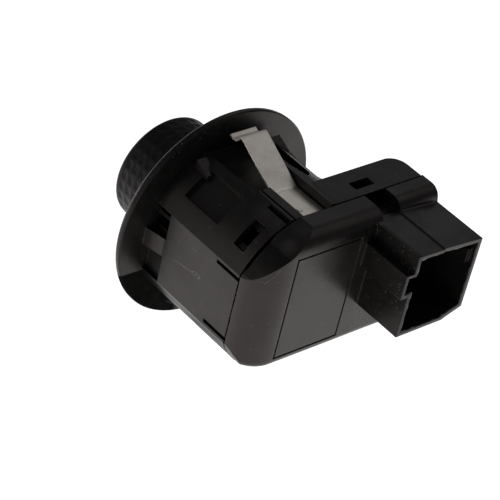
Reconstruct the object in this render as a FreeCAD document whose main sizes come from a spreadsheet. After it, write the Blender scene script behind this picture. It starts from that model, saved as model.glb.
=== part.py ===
import FreeCAD, Part
import math
import os
import Sketcher

# Door mirror switch: a round knob that turns to pick a mirror and tilts to aim it.
# Frame in millimetres: the origin is on the knob axis in the rear face of the flange,
# -Y points out of the door panel at the hand, +Z is up, the connector sits towards -X.

SIZES = {
    # flange and barrel
    "flange_radius": 22.5,
    "flange_thick": 1.6,
    "flange_dish": 0.6,
    "stem_opening_radius": 9.2,
    "barrel_radius": 17.8,
    "flat_cut": 1.75,
    "wall": 1.5,
    "seam_y": 24.5,
    "window_depth": 4.7,
    "tongue_half": 1.9,
    # elongated box that carries the connector
    "box_front_y": 17.3,
    "box_drop": 0.55,
    "box_bottom": 11.0,
    "box_end": 25.9,
    "box_corner": 3.2,
    # cover
    "cover_depth": 6.5,
    "cover_wall": 1.4,
    "side_land": 0.05,
    "top_round": 3.4,
    "bottom_round": 1.8,
    "end_round": 0.6,
    "seam_gap": 0.15,
    # connector shroud
    "shroud_reach": 10.9,
    "shroud_left": 25.85,
    "shroud_right": 9.5,
    "shroud_top": 15.4,
    "shroud_fall": 0.55,
    "shroud_bottom": 2.6,
    "recess_drop": 0.5,
    "block_rise": 0.3,
    "shroud_wall": 0.7,
    "socket_depth": 14.3,
    "socket_floor": 1.2,
    "key_width": 5.25,
    "key_rise": 1.9,
    "key_centre": 9.35,
    # label field
    "label_left": 6.0,
    "label_right": 9.2,
    "label_top": 13.5,
    "label_bottom": 8.85,
    "groove_width": 0.4,
    "groove_depth": 0.3,
    # leaf springs
    "spring_width": 6.0,
    "spring_thick": 0.5,
    "seat_depth": 2.65,
    "spring_bend_y": 15.5,
    "spring_crest_y": 4.9,
    "crest_rise": 5.85,
    "spring_tip_y": 2.1,
    "tip_drop": 1.5,
    "spring_tail": 0.9,
    "channel_gap": 0.3,
    "channel_floor": 1.3,
    # tilting parts
    "pivot_y": 6.5,
    "tilt_limit": 5.0,
    "ring_radius": 9.0,
    "ring_wall": 2.4,
    "ring_height": 3.6,
    "trunnion_radius": 1.2,
    "running_gap": 0.05,
    "part_gap": 0.3,
    "sleeve_radius": 3.9,
    "cup_radius": 5.9,
    "cup_bore": 4.3,
    "plate_radius": 8.8,
    "plate_thick": 1.0,
    "plate_back": 4.1,
    # stem and coupling
    "stem_radius": 2.4,
    "ball_radius": 1.7,
    "neck_radius": 1.1,
    "drive_pin_radius": 0.55,
    "drive_pin_half": 2.9,
    # plungers
    "plunger_circle": 6.0,
    "plunger_radius": 1.3,
    "plunger_head": 1.7,
    # guide cup, mat and board
    "guide_front_y": 12.2,
    "guide_thick": 2.0,
    "mat_thick": 1.0,
    "dome_radius": 1.9,
    "dome_rise": 1.9,
    "board_front_y": 22.0,
    "board_thick": 1.6,
    # selector
    "rotor_tube_radius": 3.4,
    "rotor_tube_bore": 2.0,
    "disc_radius": 7.6,
    "disc_thick": 1.4,
    "pintle_radius": 1.5,
    "select_step": 40.0,
    "notch_radius": 0.9,
    # knob
    "knob_front_y": 16.85,
    "knob_base_y": 3.1,
    "knob_front_radius": 11.25,
    "knob_base_radius": 11.6,
    "knob_edge_round": 1.2,
    "grip_wall": 1.5,
    "cap_recess": 0.5,
    "cap_thick": 1.4,
    # terminals
    "blade_width": 1.5,
    "blade_thick": 0.64,
    "blade_reach": 2.2,
    "blade_pitch": 3.4,
    "blade_rows": 4,
    "blade_column_a": 14.2,
    "blade_column_b": 19.2,
    "blade_first_z": 1.2,
}

doc = FreeCAD.newDocument("mirror_switch")
sheet = doc.addObject("Spreadsheet::Sheet", "Sizes")
for row, (alias, number) in enumerate(SIZES.items(), start=1):
    sheet.set("A%d" % row, alias)
    sheet.set("B%d" % row, str(number))
    sheet.setAlias("B%d" % row, alias)
doc.recompute()


class Size:
    """A number together with the sheet expression that it comes from."""

    def __init__(self, value, text):
        self.value = float(value)
        self.text = text

    def __add__(self, other):
        other = as_size(other)
        return Size(self.value + other.value, "(%s + %s)" % (self.text, other.text))

    def __sub__(self, other):
        other = as_size(other)
        return Size(self.value - other.value, "(%s - %s)" % (self.text, other.text))

    def __mul__(self, other):
        other = as_size(other)
        return Size(self.value * other.value, "(%s * %s)" % (self.text, other.text))

    def __truediv__(self, other):
        other = as_size(other)
        return Size(self.value / other.value, "(%s / %s)" % (self.text, other.text))

    def __neg__(self):
        return Size(-self.value, "(0 - %s)" % self.text)

    def __radd__(self, other):
        return as_size(other) + self

    def __rsub__(self, other):
        return as_size(other) - self

    def __rmul__(self, other):
        return as_size(other) * self


def as_size(number):
    """Turn a plain number into a Size, and leave a Size as it is."""
    if isinstance(number, Size):
        return number
    if number < 0:
        return Size(number, "(0 - %r)" % abs(float(number)))
    return Size(number, "%r" % float(number))


def root(size):
    """Square root of a size."""
    return Size(math.sqrt(size.value), "sqrt(%s)" % size.text)


def cosine(degrees):
    """Cosine of an angle held in degrees."""
    degrees = as_size(degrees)
    return Size(math.cos(math.radians(degrees.value)), "cos(%s * 1deg)" % degrees.text)


def sine(degrees):
    """Sine of an angle held in degrees."""
    degrees = as_size(degrees)
    return Size(math.sin(math.radians(degrees.value)), "sin(%s * 1deg)" % degrees.text)


class Sheet:
    """Gives each alias of the sheet as a Size."""

    def __getattr__(self, alias):
        return Size(SIZES[alias], "Sizes.%s" % alias)


S = Sheet()
ZERO = as_size(0)


# Sketch and feature helpers

PLANES = {"X": "YZ_Plane", "Y": "XZ_Plane", "Z": "XY_Plane"}


def new_body(name):
    """Start a sub-part."""
    body = doc.addObject("PartDesign::Body", name)
    body.Label = name
    return body


def new_sketch(body, axis, start, name):
    """A sketch square to axis, standing at start along it."""
    sketch = body.newObject("Sketcher::SketchObject", body.Name + "_" + name + "_sketch")
    plane = [f for f in body.Origin.OriginFeatures if f.Role == PLANES[axis]][0]
    sketch.AttachmentSupport = (plane, [""])
    sketch.MapMode = "FlatFace"
    offset = -as_size(start) if axis == "Y" else as_size(start)
    sketch.AttachmentOffset = FreeCAD.Placement(
        FreeCAD.Vector(0, 0, offset.value), FreeCAD.Rotation())
    sketch.setExpression("AttachmentOffset.Base.z", offset.text)
    return sketch


def bind(sketch, items):
    """Add constraints given with their sizes, and bind each one to its expression."""
    first = sketch.ConstraintCount
    sketch.addConstraint([constraint for constraint, size in items])
    for index, (constraint, size) in enumerate(items):
        if size is not None:
            sketch.setExpression("Constraints[%d]" % (first + index), size.text)


def place_point(geometry, position, x, y):
    """Constraints that put a sketch point at x, y from the sketch's origin."""
    return [
        (Sketcher.Constraint("DistanceX", -1, 1, geometry, position, x.value), x),
        (Sketcher.Constraint("DistanceY", -1, 1, geometry, position, y.value), y),
    ]


def corner_arc(before, here, after, radius):
    """Tangent arc at a corner: its centre, end points and turning side."""
    u = (before - here).normalize()
    v = (after - here).normalize()
    half = math.acos(max(-1.0, min(1.0, u.dot(v)))) / 2
    run = radius / math.tan(half)
    centre = here + (u + v).normalize() * (radius / math.sin(half))
    return here + u * run, here + v * run, centre


def outline(sketch, corners):
    """Closed outline through corners (x, y) or (x, y, radius), each one bound to the sheet."""
    corners = [[as_size(c) for c in corner] for corner in corners]
    spots = [FreeCAD.Vector(c[0].value, c[1].value, 0) for c in corners]
    count = len(corners)
    entry = list(spots)
    leave = list(spots)
    centres = {}
    for i, corner in enumerate(corners):
        if len(corner) == 3:
            arc = corner_arc(spots[i - 1], spots[i], spots[(i + 1) % count], corner[2].value)
            entry[i], leave[i], centres[i] = arc
    first = sketch.GeometryCount
    for i in range(count):
        sketch.addGeometry(Part.LineSegment(leave[i], entry[(i + 1) % count]), False)
    items = []
    for i, corner in enumerate(corners):
        line_in = first + (i - 1) % count
        line_out = first + i
        if i not in centres:
            items.append((Sketcher.Constraint("Coincident", line_in, 2, line_out, 1), None))
            items += place_point(line_out, 1, corner[0], corner[1])
            continue
        point = sketch.addGeometry(Part.Point(spots[i]), True)
        items += place_point(point, 1, corner[0], corner[1])
        items.append((Sketcher.Constraint("PointOnObject", point, 1, line_in), None))
        items.append((Sketcher.Constraint("PointOnObject", point, 1, line_out), None))
        centre = centres[i]
        turn = (entry[i] - centre).cross(leave[i] - centre).z
        begin, end = (entry[i], leave[i]) if turn > 0 else (leave[i], entry[i])
        circle = Part.Circle(centre, FreeCAD.Vector(0, 0, 1), corner[2].value)
        angles = [math.atan2((p - centre).y, (p - centre).x) for p in (begin, end)]
        arc = sketch.addGeometry(Part.ArcOfCircle(circle, angles[0], angles[1]), False)
        ends = (1, 2) if turn > 0 else (2, 1)
        items.append((Sketcher.Constraint("Tangent", line_in, 2, arc, ends[0]), None))
        items.append((Sketcher.Constraint("Tangent", arc, ends[1], line_out, 1), None))
        items.append((Sketcher.Constraint("Radius", arc, corner[2].value), corner[2]))
    bind(sketch, items)


def ring_outline(sketch, x, y, radius):
    """A circle bound to the sheet."""
    x, y, radius = as_size(x), as_size(y), as_size(radius)
    centre = FreeCAD.Vector(x.value, y.value, 0)
    circle = Part.Circle(centre, FreeCAD.Vector(0, 0, 1), radius.value)
    index = sketch.addGeometry(circle, False)
    bind(sketch, place_point(index, 3, x, y)
         + [(Sketcher.Constraint("Radius", index, radius.value), radius)])


def extrude(body, sketch, axis, length, cut, name):
    """Pad or pocket a sketch along its plus axis, and check that it changed the volume."""
    length = as_size(length)
    before = body.Shape.Volume if body.Tip else 0.0
    kind = "PartDesign::Pocket" if cut else "PartDesign::Pad"
    feature = body.newObject(kind, body.Name + "_" + name)
    feature.Profile = sketch
    feature.Length = length.value
    feature.setExpression("Length", length.text)
    feature.Reversed = (axis == "Y") != cut
    doc.recompute()
    after = body.Shape.Volume
    if cut and not after < before - 1e-6:
        raise RuntimeError(feature.Name + " cuts nothing")
    if not cut and not after > before + 1e-6:
        raise RuntimeError(feature.Name + " adds nothing")
    return feature


def prism(body, name, axis, start, length, *outlines, cut=False):
    """Straight block of one or more outlines, from start along the plus axis."""
    sketch = new_sketch(body, axis, start, name)
    for corners in outlines:
        outline(sketch, corners)
    return extrude(body, sketch, axis, length, cut, name)


def rods(body, name, axis, start, length, circles, cut=False):
    """Straight round rods or holes, each (x, y, radius) in the sketch, along the plus axis."""
    sketch = new_sketch(body, axis, start, name)
    for x, y, radius in circles:
        ring_outline(sketch, x, y, radius)
    return extrude(body, sketch, axis, length, cut, name)


def turned(body, name, corners, cut=False, angle=None):
    """Solid or groove turned about the knob axis, with corners given as (radius, y)."""
    sketch = new_sketch(body, "Z", ZERO, name)
    outline(sketch, corners)
    before = body.Shape.Volume if body.Tip else 0.0
    kind = "PartDesign::Groove" if cut else "PartDesign::Revolution"
    feature = body.newObject(kind, body.Name + "_" + name)
    feature.Profile = sketch
    feature.ReferenceAxis = (sketch, ["V_Axis"])
    feature.Angle = 360.0
    if angle is not None:
        feature.Angle = angle.value
        feature.setExpression("Angle", angle.text)
        feature.Midplane = True
    doc.recompute()
    if cut and not body.Shape.Volume < before - 1e-6:
        raise RuntimeError(feature.Name + " cuts nothing")
    return feature


def round_edges(body, name, radius, chosen):
    """Round the edges that the test picks."""
    radius = as_size(radius)
    tip = body.Tip
    edges = ["Edge%d" % (i + 1) for i, e in enumerate(body.Shape.Edges) if chosen(e)]
    if not edges:
        raise RuntimeError(name + " finds no edge on " + body.Name)
    fillet = body.newObject("PartDesign::Fillet", body.Name + "_" + name)
    fillet.Base = (tip, edges)
    fillet.Radius = radius.value
    fillet.setExpression("Radius", radius.text)
    doc.recompute()
    return fillet


def near(number, size):
    """Whether a coordinate lies at a size."""
    return abs(number - as_size(size).value) < 1e-4


def edge_at(edge, **levels):
    """Whether every vertex of an edge lies at the given x, y or z."""
    return all(near(getattr(v.Point, axis), level)
               for v in edge.Vertexes for axis, level in levels.items())


def rectangle(x0, y0, x1, y1, radius=None):
    """Corners of a rectangle, with rounded corners if a radius is given."""
    corners = [(x0, y0), (x1, y0), (x1, y1), (x0, y1)]
    if radius is None:
        return corners
    return [(x, y, radius) for x, y in corners]


def mirrored_x(corners):
    """The same outline on the other side of the vertical axis."""
    return [(-as_size(c[0]),) + tuple(c[1:]) for c in corners]


def mirrored_y(corners):
    """The same outline on the other side of the horizontal axis."""
    return [(c[0], -as_size(c[1])) + tuple(c[2:]) for c in corners]


def octagon(side_x, side_z, top_x, top_z):
    """Outline of the barrel's inside: two flat sides, flat top and bottom, sloping corners."""
    return [(side_x, -side_z), (side_x, side_z), (top_x, top_z), (-top_x, top_z),
            (-side_x, side_z), (-side_x, -side_z), (-top_x, -top_z), (top_x, -top_z)]


# Sizes that several pieces share
flat_reach = S.barrel_radius - S.flat_cut
box_top = S.barrel_radius - S.box_drop
spring_seat = S.barrel_radius - S.seat_depth
spring_crest = spring_seat + S.spring_thick + S.crest_rise
back_y = S.seam_y + S.cover_depth
mouth_y = back_y + S.shroud_reach
socket_y = mouth_y - S.socket_depth
shroud_root_y = socket_y - S.socket_floor
bore_side = flat_reach - S.wall
bore_side_z = as_size(7.3)
bore_top = spring_seat - S.channel_floor
bore_top_x = root((S.barrel_radius - S.wall) * (S.barrel_radius - S.wall) - bore_top * bore_top)
flat_half = root(S.barrel_radius * S.barrel_radius - flat_reach * flat_reach)
channel_half = S.spring_width / 2 + S.channel_gap
ring_inner = S.ring_radius - S.ring_wall
ring_front = S.pivot_y - S.ring_height / 2
ring_back = S.pivot_y + S.ring_height / 2
lug_face = S.ring_radius + S.part_gap + 0.2
plate_rear_y = S.pivot_y + S.plate_back
board_back_y = S.board_front_y + S.board_thick
mat_front_y = S.board_front_y - S.mat_thick
dome_top_y = mat_front_y - S.dome_rise
disc_front_y = board_back_y + 1.2
disc_back_y = disc_front_y + S.disc_thick
detent_half = S.disc_radius - 1.2
cover_inner_y = back_y - S.cover_wall
inner_top = box_top - S.wall
inner_bottom = S.box_bottom - S.wall
inner_end = S.box_end - S.wall
guide_bottom = inner_bottom
side_round = S.cover_depth - S.seam_gap - S.side_land
hook_angle = 47.0
recess_left = as_size(16.1)
recess_right = as_size(11.1)
corner_slope = (bore_side - bore_top_x) / (bore_top - bore_side_z)
low_corner_x = bore_side - (inner_bottom - bore_side_z) * corner_slope


def switch_body():
    """Flange, barrel and the front half of the connector box, moulded as one."""
    body = new_body("switch_body")
    lip = S.flange_radius - 0.25
    turned(body, "flange", [
        (S.stem_opening_radius, ZERO),
        (S.stem_opening_radius, -(S.flange_thick - S.flange_dish)),
        (S.knob_base_radius + 1.2, -(S.flange_thick - S.flange_dish)),
        (S.knob_base_radius + 2.2, -S.flange_thick),
        (S.flange_radius, -S.flange_thick, 0.9),
        (S.flange_radius, -0.2),
        (lip, ZERO),
    ])
    rods(body, "barrel", "Y", ZERO, S.seam_y, [(ZERO, ZERO, S.barrel_radius)])
    box = rectangle(-S.box_end, -S.box_bottom, ZERO, box_top)
    prism(body, "box", "Y", S.box_front_y, S.seam_y - S.box_front_y, box)
    round_edges(body, "box_corner", S.box_corner,
                lambda e: edge_at(e, x=-S.box_end, y=S.box_front_y))
    shave = S.barrel_radius - flat_reach + 1.0
    right = rectangle(flat_reach, -S.barrel_radius, flat_reach + shave, S.barrel_radius)
    prism(body, "flat", "Y", ZERO, S.seam_y, right, cut=True)
    prism(body, "flat_left", "Y", ZERO, S.box_front_y, mirrored_x(right), cut=True)
    inside = octagon(bore_side, bore_side_z, bore_top_x, bore_top)
    prism(body, "bore", "Y", ZERO, S.seam_y - S.wall, inside, cut=True)
    tail = [(bore_side, -inner_bottom), (bore_side, bore_side_z), (bore_top_x, bore_top),
            (-inner_end, bore_top), (-inner_end, -inner_bottom)]
    prism(body, "tail_bore", "Y", S.seam_y - S.wall - 0.5, S.wall + 0.5, tail, cut=True)
    hollow = [(-inner_end, -inner_bottom), (-bore_top_x, -inner_bottom),
              (-bore_top_x, inner_top), (-inner_end, inner_top)]
    prism(body, "box_bore", "Y", S.box_front_y + S.wall,
          S.seam_y - S.box_front_y - S.wall, hollow, cut=True)
    window_and_tongue(body)
    spring_seats(body)
    barrel_recesses(body)
    latch_holes(body)
    ramp_bosses(body)
    trunnion_lugs(body)
    return body


def window_and_tongue(body):
    """Openings in both flats beside the flange, bridged by a sloping tongue and a gusset."""
    reach = flat_reach + 1.0
    depth = reach - bore_side + 0.6
    for side, name in ((1, "right"), (-1, "left")):
        start = bore_side - 0.6 if side > 0 else -reach
        upper = rectangle(ZERO, S.tongue_half, S.window_depth, flat_half)
        prism(body, "window_" + name, "X", start, depth, upper, cut=True)
        lower = rectangle(ZERO, -flat_half, S.window_depth, -S.tongue_half)
        shallow = bore_side + S.wall / 3 if side > 0 else -reach
        prism(body, "niche_" + name, "X", shallow, reach - bore_side - S.wall / 3,
              lower, cut=True)
        wedge = [(side * (flat_reach - 0.2), ZERO), (side * (flat_reach + 0.95), ZERO),
                 (side * (flat_reach + 0.0), S.window_depth - 0.3),
                 (side * (flat_reach - 0.2), S.window_depth - 0.3)]
        prism(body, "tongue_" + name, "Z", -S.tongue_half, S.tongue_half * 2, wedge)
        gusset = [(side * (bore_side - 0.2), -0.1), (side * (bore_side - 0.2), S.window_depth),
                  (side * (bore_side - 2.6), -0.1)]
        prism(body, "gusset_" + name, "Z", S.tongue_half + 2.6, 0.8, gusset)


def spring_seats(body):
    """Channel for each leaf spring, and the deeper pocket that its arm works in."""
    pocket_end = S.spring_bend_y - 0.6
    for side, name in ((1, "top"), (-1, "bottom")):
        floor = side * spring_seat
        ceiling = side * (S.barrel_radius + 1.0)
        low, high = (floor, ceiling) if side > 0 else (ceiling, floor)
        channel = rectangle(-channel_half, low, channel_half, high)
        prism(body, "channel_" + name, "Y", ZERO, S.seam_y, channel, cut=True)
        wide = 2 * channel_half * side
        pocket = [(channel_half * side, low), (wide, low), (wide, high),
                  (channel_half * side, high)]
        prism(body, "pocket_" + name, "Y", ZERO, pocket_end, pocket, cut=True)
        rail = S.barrel_radius - 0.95
        rail_end = 2 * channel_half - 0.6
        rail_end_z = root(S.barrel_radius * S.barrel_radius - rail_end * rail_end)
        ramp = [(side * rail_end, side * rail_end_z), (side * rail_end, ceiling),
                (side * channel_half, ceiling), (side * channel_half, side * rail)]
        prism(body, "rail_" + name, "Y", pocket_end - 0.1,
              S.seam_y - pocket_end + 0.1, ramp, cut=True)
        line = 2 * channel_half - 1.5
        line_floor = rail_end_z - 0.45
        groove = [(side * line, side * line_floor), (side * (line + 0.45), side * line_floor),
                  (side * (line + 0.45), ceiling), (side * line, ceiling)]
        prism(body, "rail_line_" + name, "Y", pocket_end - 0.1, S.seam_y - pocket_end + 0.1,
              groove, cut=True)
        slot = rail_end + 0.15
        slot_floor = bore_top + 0.5
        slit = [(side * slot, side * slot_floor), (side * (slot + 1.1), side * slot_floor),
                (side * (slot + 1.1), ceiling), (side * slot, ceiling)]
        prism(body, "slot_" + name, "Y", S.seam_y - 5.6, 5.4, slit, cut=True)
        near_x = -side * (channel_half + 1.1)
        far_x = -side * (channel_half + 4.4)
        trough = [(near_x, ZERO), (far_x, ZERO), (far_x, pocket_end - 1.4),
                  (far_x + side * 1.5, pocket_end), (near_x - side * 1.2, pocket_end),
                  (near_x, pocket_end - 4.0)]
        depth = S.barrel_radius + 1.0 - slot_floor
        prism(body, "trough_" + name, "Z", slot_floor if side > 0 else -(slot_floor + depth),
              depth, trough, cut=True)


def barrel_recesses(body):
    """Shallow panels sunk into the barrel's four rounded corners."""
    floor = S.barrel_radius - 0.9
    crown = S.barrel_radius + 1.0
    panel = [(floor * cosine(39.5), floor * sine(39.5)),
             (crown * cosine(39.5), crown * sine(39.5)),
             (crown * cosine(61.0), crown * sine(61.0)),
             (floor * cosine(61.0), floor * sine(61.0))]
    panels = [panel, mirrored_x(panel), mirrored_y(panel), mirrored_x(mirrored_y(panel))]
    prism(body, "panels", "Y", S.window_depth, 9.6, *panels, cut=True)


def ramp_bosses(body):
    """Small ramps beside the flange, one on each rounded corner, that wedge in the cut-out."""
    near_x = S.barrel_radius * cosine(64.0)
    far_x = S.barrel_radius * cosine(56.0)
    foot = S.barrel_radius * sine(56.0) - 0.6
    wedge = [(2.1, foot), (2.1, S.barrel_radius - 1.3), (5.6, foot + 0.8), (5.6, foot)]
    for side, name in ((1, "right"), (-1, "left")):
        start = near_x if side > 0 else -far_x
        prism(body, "ramp_" + name, "X", start, far_x - near_x, wedge, mirrored_y(wedge))


def latch_holes(body):
    """Windows that the cover's hooks snap into, and slits that free the flat's snap strip."""
    inner = S.barrel_radius - S.wall - 3.0
    outer = S.barrel_radius + 1.0
    hole = [(inner * cosine(hook_angle - 9.5), inner * sine(hook_angle - 9.5)),
            (outer * cosine(hook_angle - 9.5), outer * sine(hook_angle - 9.5)),
            (outer * cosine(hook_angle + 9.5), outer * sine(hook_angle + 9.5)),
            (inner * cosine(hook_angle + 9.5), inner * sine(hook_angle + 9.5))]
    prism(body, "hook_hole", "Y", S.seam_y - 5.1, 2.8, hole, cut=True)
    lid = rectangle(-15.6, S.seam_y - 4.0, -10.9, S.seam_y - 1.9)
    prism(body, "box_hook_hole", "Z", inner_top - 1.0, S.wall + 2.0, lid, cut=True)
    prism(body, "sill_hook_hole", "Z", -S.box_bottom - 0.5, S.wall + 1.0, lid, cut=True)
    for z, name in ((6.4, "upper"), (-7.1, "lower")):
        slit = rectangle(S.seam_y - 6.2, z, S.seam_y + 0.1, z + 0.8)
        prism(body, "slit_" + name, "X", bore_side - 1.0, S.wall + 2.0, slit, cut=True)


def trunnion_lugs(body):
    """Bearing lugs for the gimbal ring, open to the rear so that the ring drops in."""
    lug_back = ring_back + S.part_gap
    slot = S.trunnion_radius + S.running_gap
    width = S.trunnion_radius + 1.5
    for side, name in ((1, "right"), (-1, "left")):
        start = lug_face if side > 0 else -(bore_side + 0.2)
        length = bore_side + 0.2 - lug_face
        profile = rectangle(-0.2, -width, lug_back, width)
        prism(body, "lug_" + name, "X", start, length, profile)
        rods(body, "lug_hole_" + name, "X", start - 0.1 if side > 0 else -(bore_side - 0.6),
             bore_side - 0.6 - lug_face + 0.1, [(S.pivot_y, ZERO, slot)], cut=True)
        mouth = rectangle(S.pivot_y, -slot, lug_back + 1.0, slot)
        prism(body, "lug_mouth_" + name, "X", start - 0.1 if side > 0 else -(bore_side - 0.6),
              bore_side - 0.6 - lug_face + 0.1, mouth, cut=True)


def rear_cover():
    """Rear half with the connector shroud, snapped to the body at the seam."""
    body = new_body("rear_cover")
    start = S.seam_y + S.seam_gap
    shell = rectangle(-S.box_end, -S.box_bottom, flat_reach, box_top)
    prism(body, "shell", "Y", start, back_y - start, shell)
    round_edges(body, "side_round", side_round,
                lambda e: edge_at(e, x=flat_reach, y=back_y))
    round_edges(body, "top_round", S.top_round,
                lambda e: edge_at(e, y=back_y, z=box_top))
    round_edges(body, "bottom_round", S.bottom_round,
                lambda e: edge_at(e, y=back_y, z=-S.box_bottom))
    turned(body, "barrel_round", [
        (S.barrel_radius, start - 1.0), (S.barrel_radius * 1.5, start - 1.0),
        (S.barrel_radius * 1.5, back_y + 1.0), (S.barrel_radius, back_y + 1.0),
    ], cut=True, angle=as_size(180.0))
    round_edges(body, "end_round", S.end_round,
                lambda e: edge_at(e, x=-S.box_end) and not edge_at(e, y=start))
    cover_bore(body, start)
    shoulder_block(body)
    shroud(body)
    latch_recess(body, start)
    label_field(body)
    cover_hooks(body, start)
    cover_bearings(body)
    terminal_slots(body)
    return body


def cover_bore(body, start):
    """Inside of the cover, stepped to keep its wall under the rounded side."""
    deep_x = flat_reach - side_round + 0.6
    shallow = [(-inner_end, -inner_bottom), (bore_side, -inner_bottom),
               (bore_side, bore_side_z), (bore_top_x, bore_top), (bore_top_x, inner_top),
               (-inner_end, inner_top)]
    prism(body, "bore", "Y", start, S.cover_depth * 0.3, shallow, cut=True)
    deep = rectangle(-inner_end + 1.0, -inner_bottom, deep_x, inner_top - 1.9)
    prism(body, "deep_bore", "Y", start, cover_inner_y - start, deep, cut=True)


def shoulder_block(body):
    """Curved shoulder that drops from the cover's top to the shroud."""
    floor = S.shroud_top - S.shroud_fall - 0.1
    sweep = [(back_y - 5.0, box_top + 1.0), (back_y - 5.0, box_top),
             (back_y - 2.5, box_top, 2.6), (back_y - 1.6, floor),
             (back_y + 1.0, floor), (back_y + 1.0, box_top + 1.0)]
    prism(body, "shoulder", "X", -S.box_end - 1.0, S.box_end + 1.0 - recess_right, sweep,
          cut=True)
    crown = box_top + S.block_rise
    block = [(S.seam_y + S.seam_gap, floor), (S.seam_y + S.seam_gap, crown),
             (back_y - 1.95, crown, 2.4), (back_y - 1.25, floor)]
    prism(body, "block", "X", -S.box_end, S.box_end - recess_left, block)


def latch_recess(body, start):
    """Recess in the cover's top that frees the upper hook, floored by a thin plate."""
    end_y = back_y - 1.8
    floor = S.shroud_top - S.recess_drop
    plate = rectangle(-recess_left - 0.3, floor - 0.6, -recess_right + 0.3, floor)
    prism(body, "recess_floor", "Y", start, end_y + 0.4 - start, plate)
    recess = rectangle(-recess_left, floor, -recess_right, box_top + 1.0)
    prism(body, "recess", "Y", start - 0.5, end_y - start + 0.5, recess, cut=True)


def shroud_outline(inset, crease):
    """Section of the connector shroud, drawn in by inset from its outer skin."""
    right = -(S.shroud_right + inset)
    left = -(S.shroud_left - inset)
    top = S.shroud_top - inset
    low = -(S.shroud_bottom - inset)
    key_low = S.key_centre - S.key_width / 2 + inset
    key_high = S.key_centre + S.key_width / 2 - inset
    key_face = right + S.key_rise
    crease_x = -recess_left + 0.1
    return [(right, low), (right, key_low), (key_face, key_low), (key_face, key_high),
            (right, key_high), (right, top + crease), (crease_x, top),
            (crease_x, top + crease), (left, top - S.shroud_fall), (left, low + 1.7),
            (left + 3.45, low + 0.5), (left + 4.65, low)]


def shroud(body):
    """Connector shroud: a keyed box around the terminals, open to the rear."""
    crease = as_size(0.25)
    prism(body, "shroud", "Y", shroud_root_y, mouth_y - shroud_root_y,
          shroud_outline(ZERO, crease))
    prism(body, "socket", "Y", socket_y, S.socket_depth + 0.5,
          shroud_outline(S.shroud_wall, crease), cut=True)
    rib = rectangle(-(S.shroud_left - S.shroud_wall + 0.1), S.shroud_top - 6.4,
                    -(S.shroud_left - S.shroud_wall - 0.8), S.shroud_top - 3.4)
    prism(body, "socket_rib", "Y", socket_y - 0.1, S.socket_depth - 1.0, rib)


def label_field(body):
    """Fine groove that frames the plain field on the rear face."""
    x0, x1 = -S.label_left, S.label_right
    z0, z1 = -S.label_bottom, S.label_top
    w = S.groove_width / 2
    outer = rectangle(x0 - w, z0 - w, x1 + w, z1 + w)
    inner = rectangle(x0 + w, z0 + w, x1 - w, z1 - w)
    prism(body, "label_groove", "Y", back_y - S.groove_depth, S.groove_depth + 0.5,
          outer, inner, cut=True)


def cover_hooks(body, start):
    """Snap hooks that reach into the body's windows."""
    grip = S.seam_y - 5.1 + 0.15
    spread = 5.5
    inner = S.barrel_radius - S.wall - 1.9
    outer = inner + 1.1

    def sector(low, high):
        return [(low * cosine(hook_angle - spread), low * sine(hook_angle - spread)),
                (high * cosine(hook_angle - spread), high * sine(hook_angle - spread)),
                (high * cosine(hook_angle + spread), high * sine(hook_angle + spread)),
                (low * cosine(hook_angle + spread), low * sine(hook_angle + spread))]

    floor = start + S.cover_depth * 0.3
    prism(body, "hook", "Y", grip, floor + 0.4 - grip, sector(inner, outer))
    prism(body, "hook_nub", "Y", grip, as_size(1.8), sector(outer - 0.1, outer + 0.95))
    lid_low = S.shroud_top - S.recess_drop - 1.0
    lid_bar = rectangle(-14.9, lid_low, -11.6, lid_low + 1.0)
    prism(body, "lid_hook", "Y", S.seam_y - 3.8, back_y - 1.4 - S.seam_y + 3.8, lid_bar)
    lid_nub = rectangle(-14.9, lid_low + 0.9, -11.6, inner_top + 0.45)
    prism(body, "lid_hook_nub", "Y", S.seam_y - 3.8, as_size(1.5), lid_nub)
    sill_bar = rectangle(-15.2, -inner_bottom + 0.25, -12.95, -inner_bottom + 1.15)
    prism(body, "sill_hook", "Y", S.seam_y - 3.8, cover_inner_y - S.seam_y + 3.9, sill_bar)
    sill_nub = rectangle(-15.2, -inner_bottom - 0.8, -12.95, -inner_bottom + 0.35)
    prism(body, "sill_hook_nub", "Y", S.seam_y - 3.8, as_size(1.5), sill_nub)


def cover_bearings(body):
    """Pintle that the selector turns on, and the two posts that hold the detent spring."""
    rods(body, "pintle", "Y", disc_back_y + 0.5, cover_inner_y - disc_back_y - 0.3,
         [(ZERO, ZERO, S.pintle_radius)])
    z0 = S.disc_radius + 0.9
    for side, name in ((1, "right"), (-1, "left")):
        post = rectangle(detent_half + 0.2, z0, detent_half + 1.8, z0 + 2.6)
        prism(body, "detent_post_" + name, "Y", disc_front_y, cover_inner_y - disc_front_y + 0.1,
              post if side > 0 else mirrored_x(post))


def blade_spots():
    """Centres of the terminal blades, column by column."""
    spots = []
    for column in (S.blade_column_a, S.blade_column_b):
        for number in range(int(S.blade_rows.value)):
            spots.append((-column, S.blade_first_z + S.blade_pitch * number))
    return spots


def blade_section(x, z, gap=0.0):
    """Section of one terminal blade."""
    half_width = S.blade_width / 2 + gap
    half_thick = S.blade_thick / 2 + gap
    return rectangle(x - half_thick, z - half_width, x + half_thick, z + half_width)


def terminal_slots(body):
    """Slots through the cover's rear wall, one for each terminal blade."""
    slots = [blade_section(x, z, 0.05) for x, z in blade_spots()]
    prism(body, "terminal_slots", "Y", shroud_root_y - 0.5, S.socket_floor + 1.0, *slots,
          cut=True)


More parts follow.
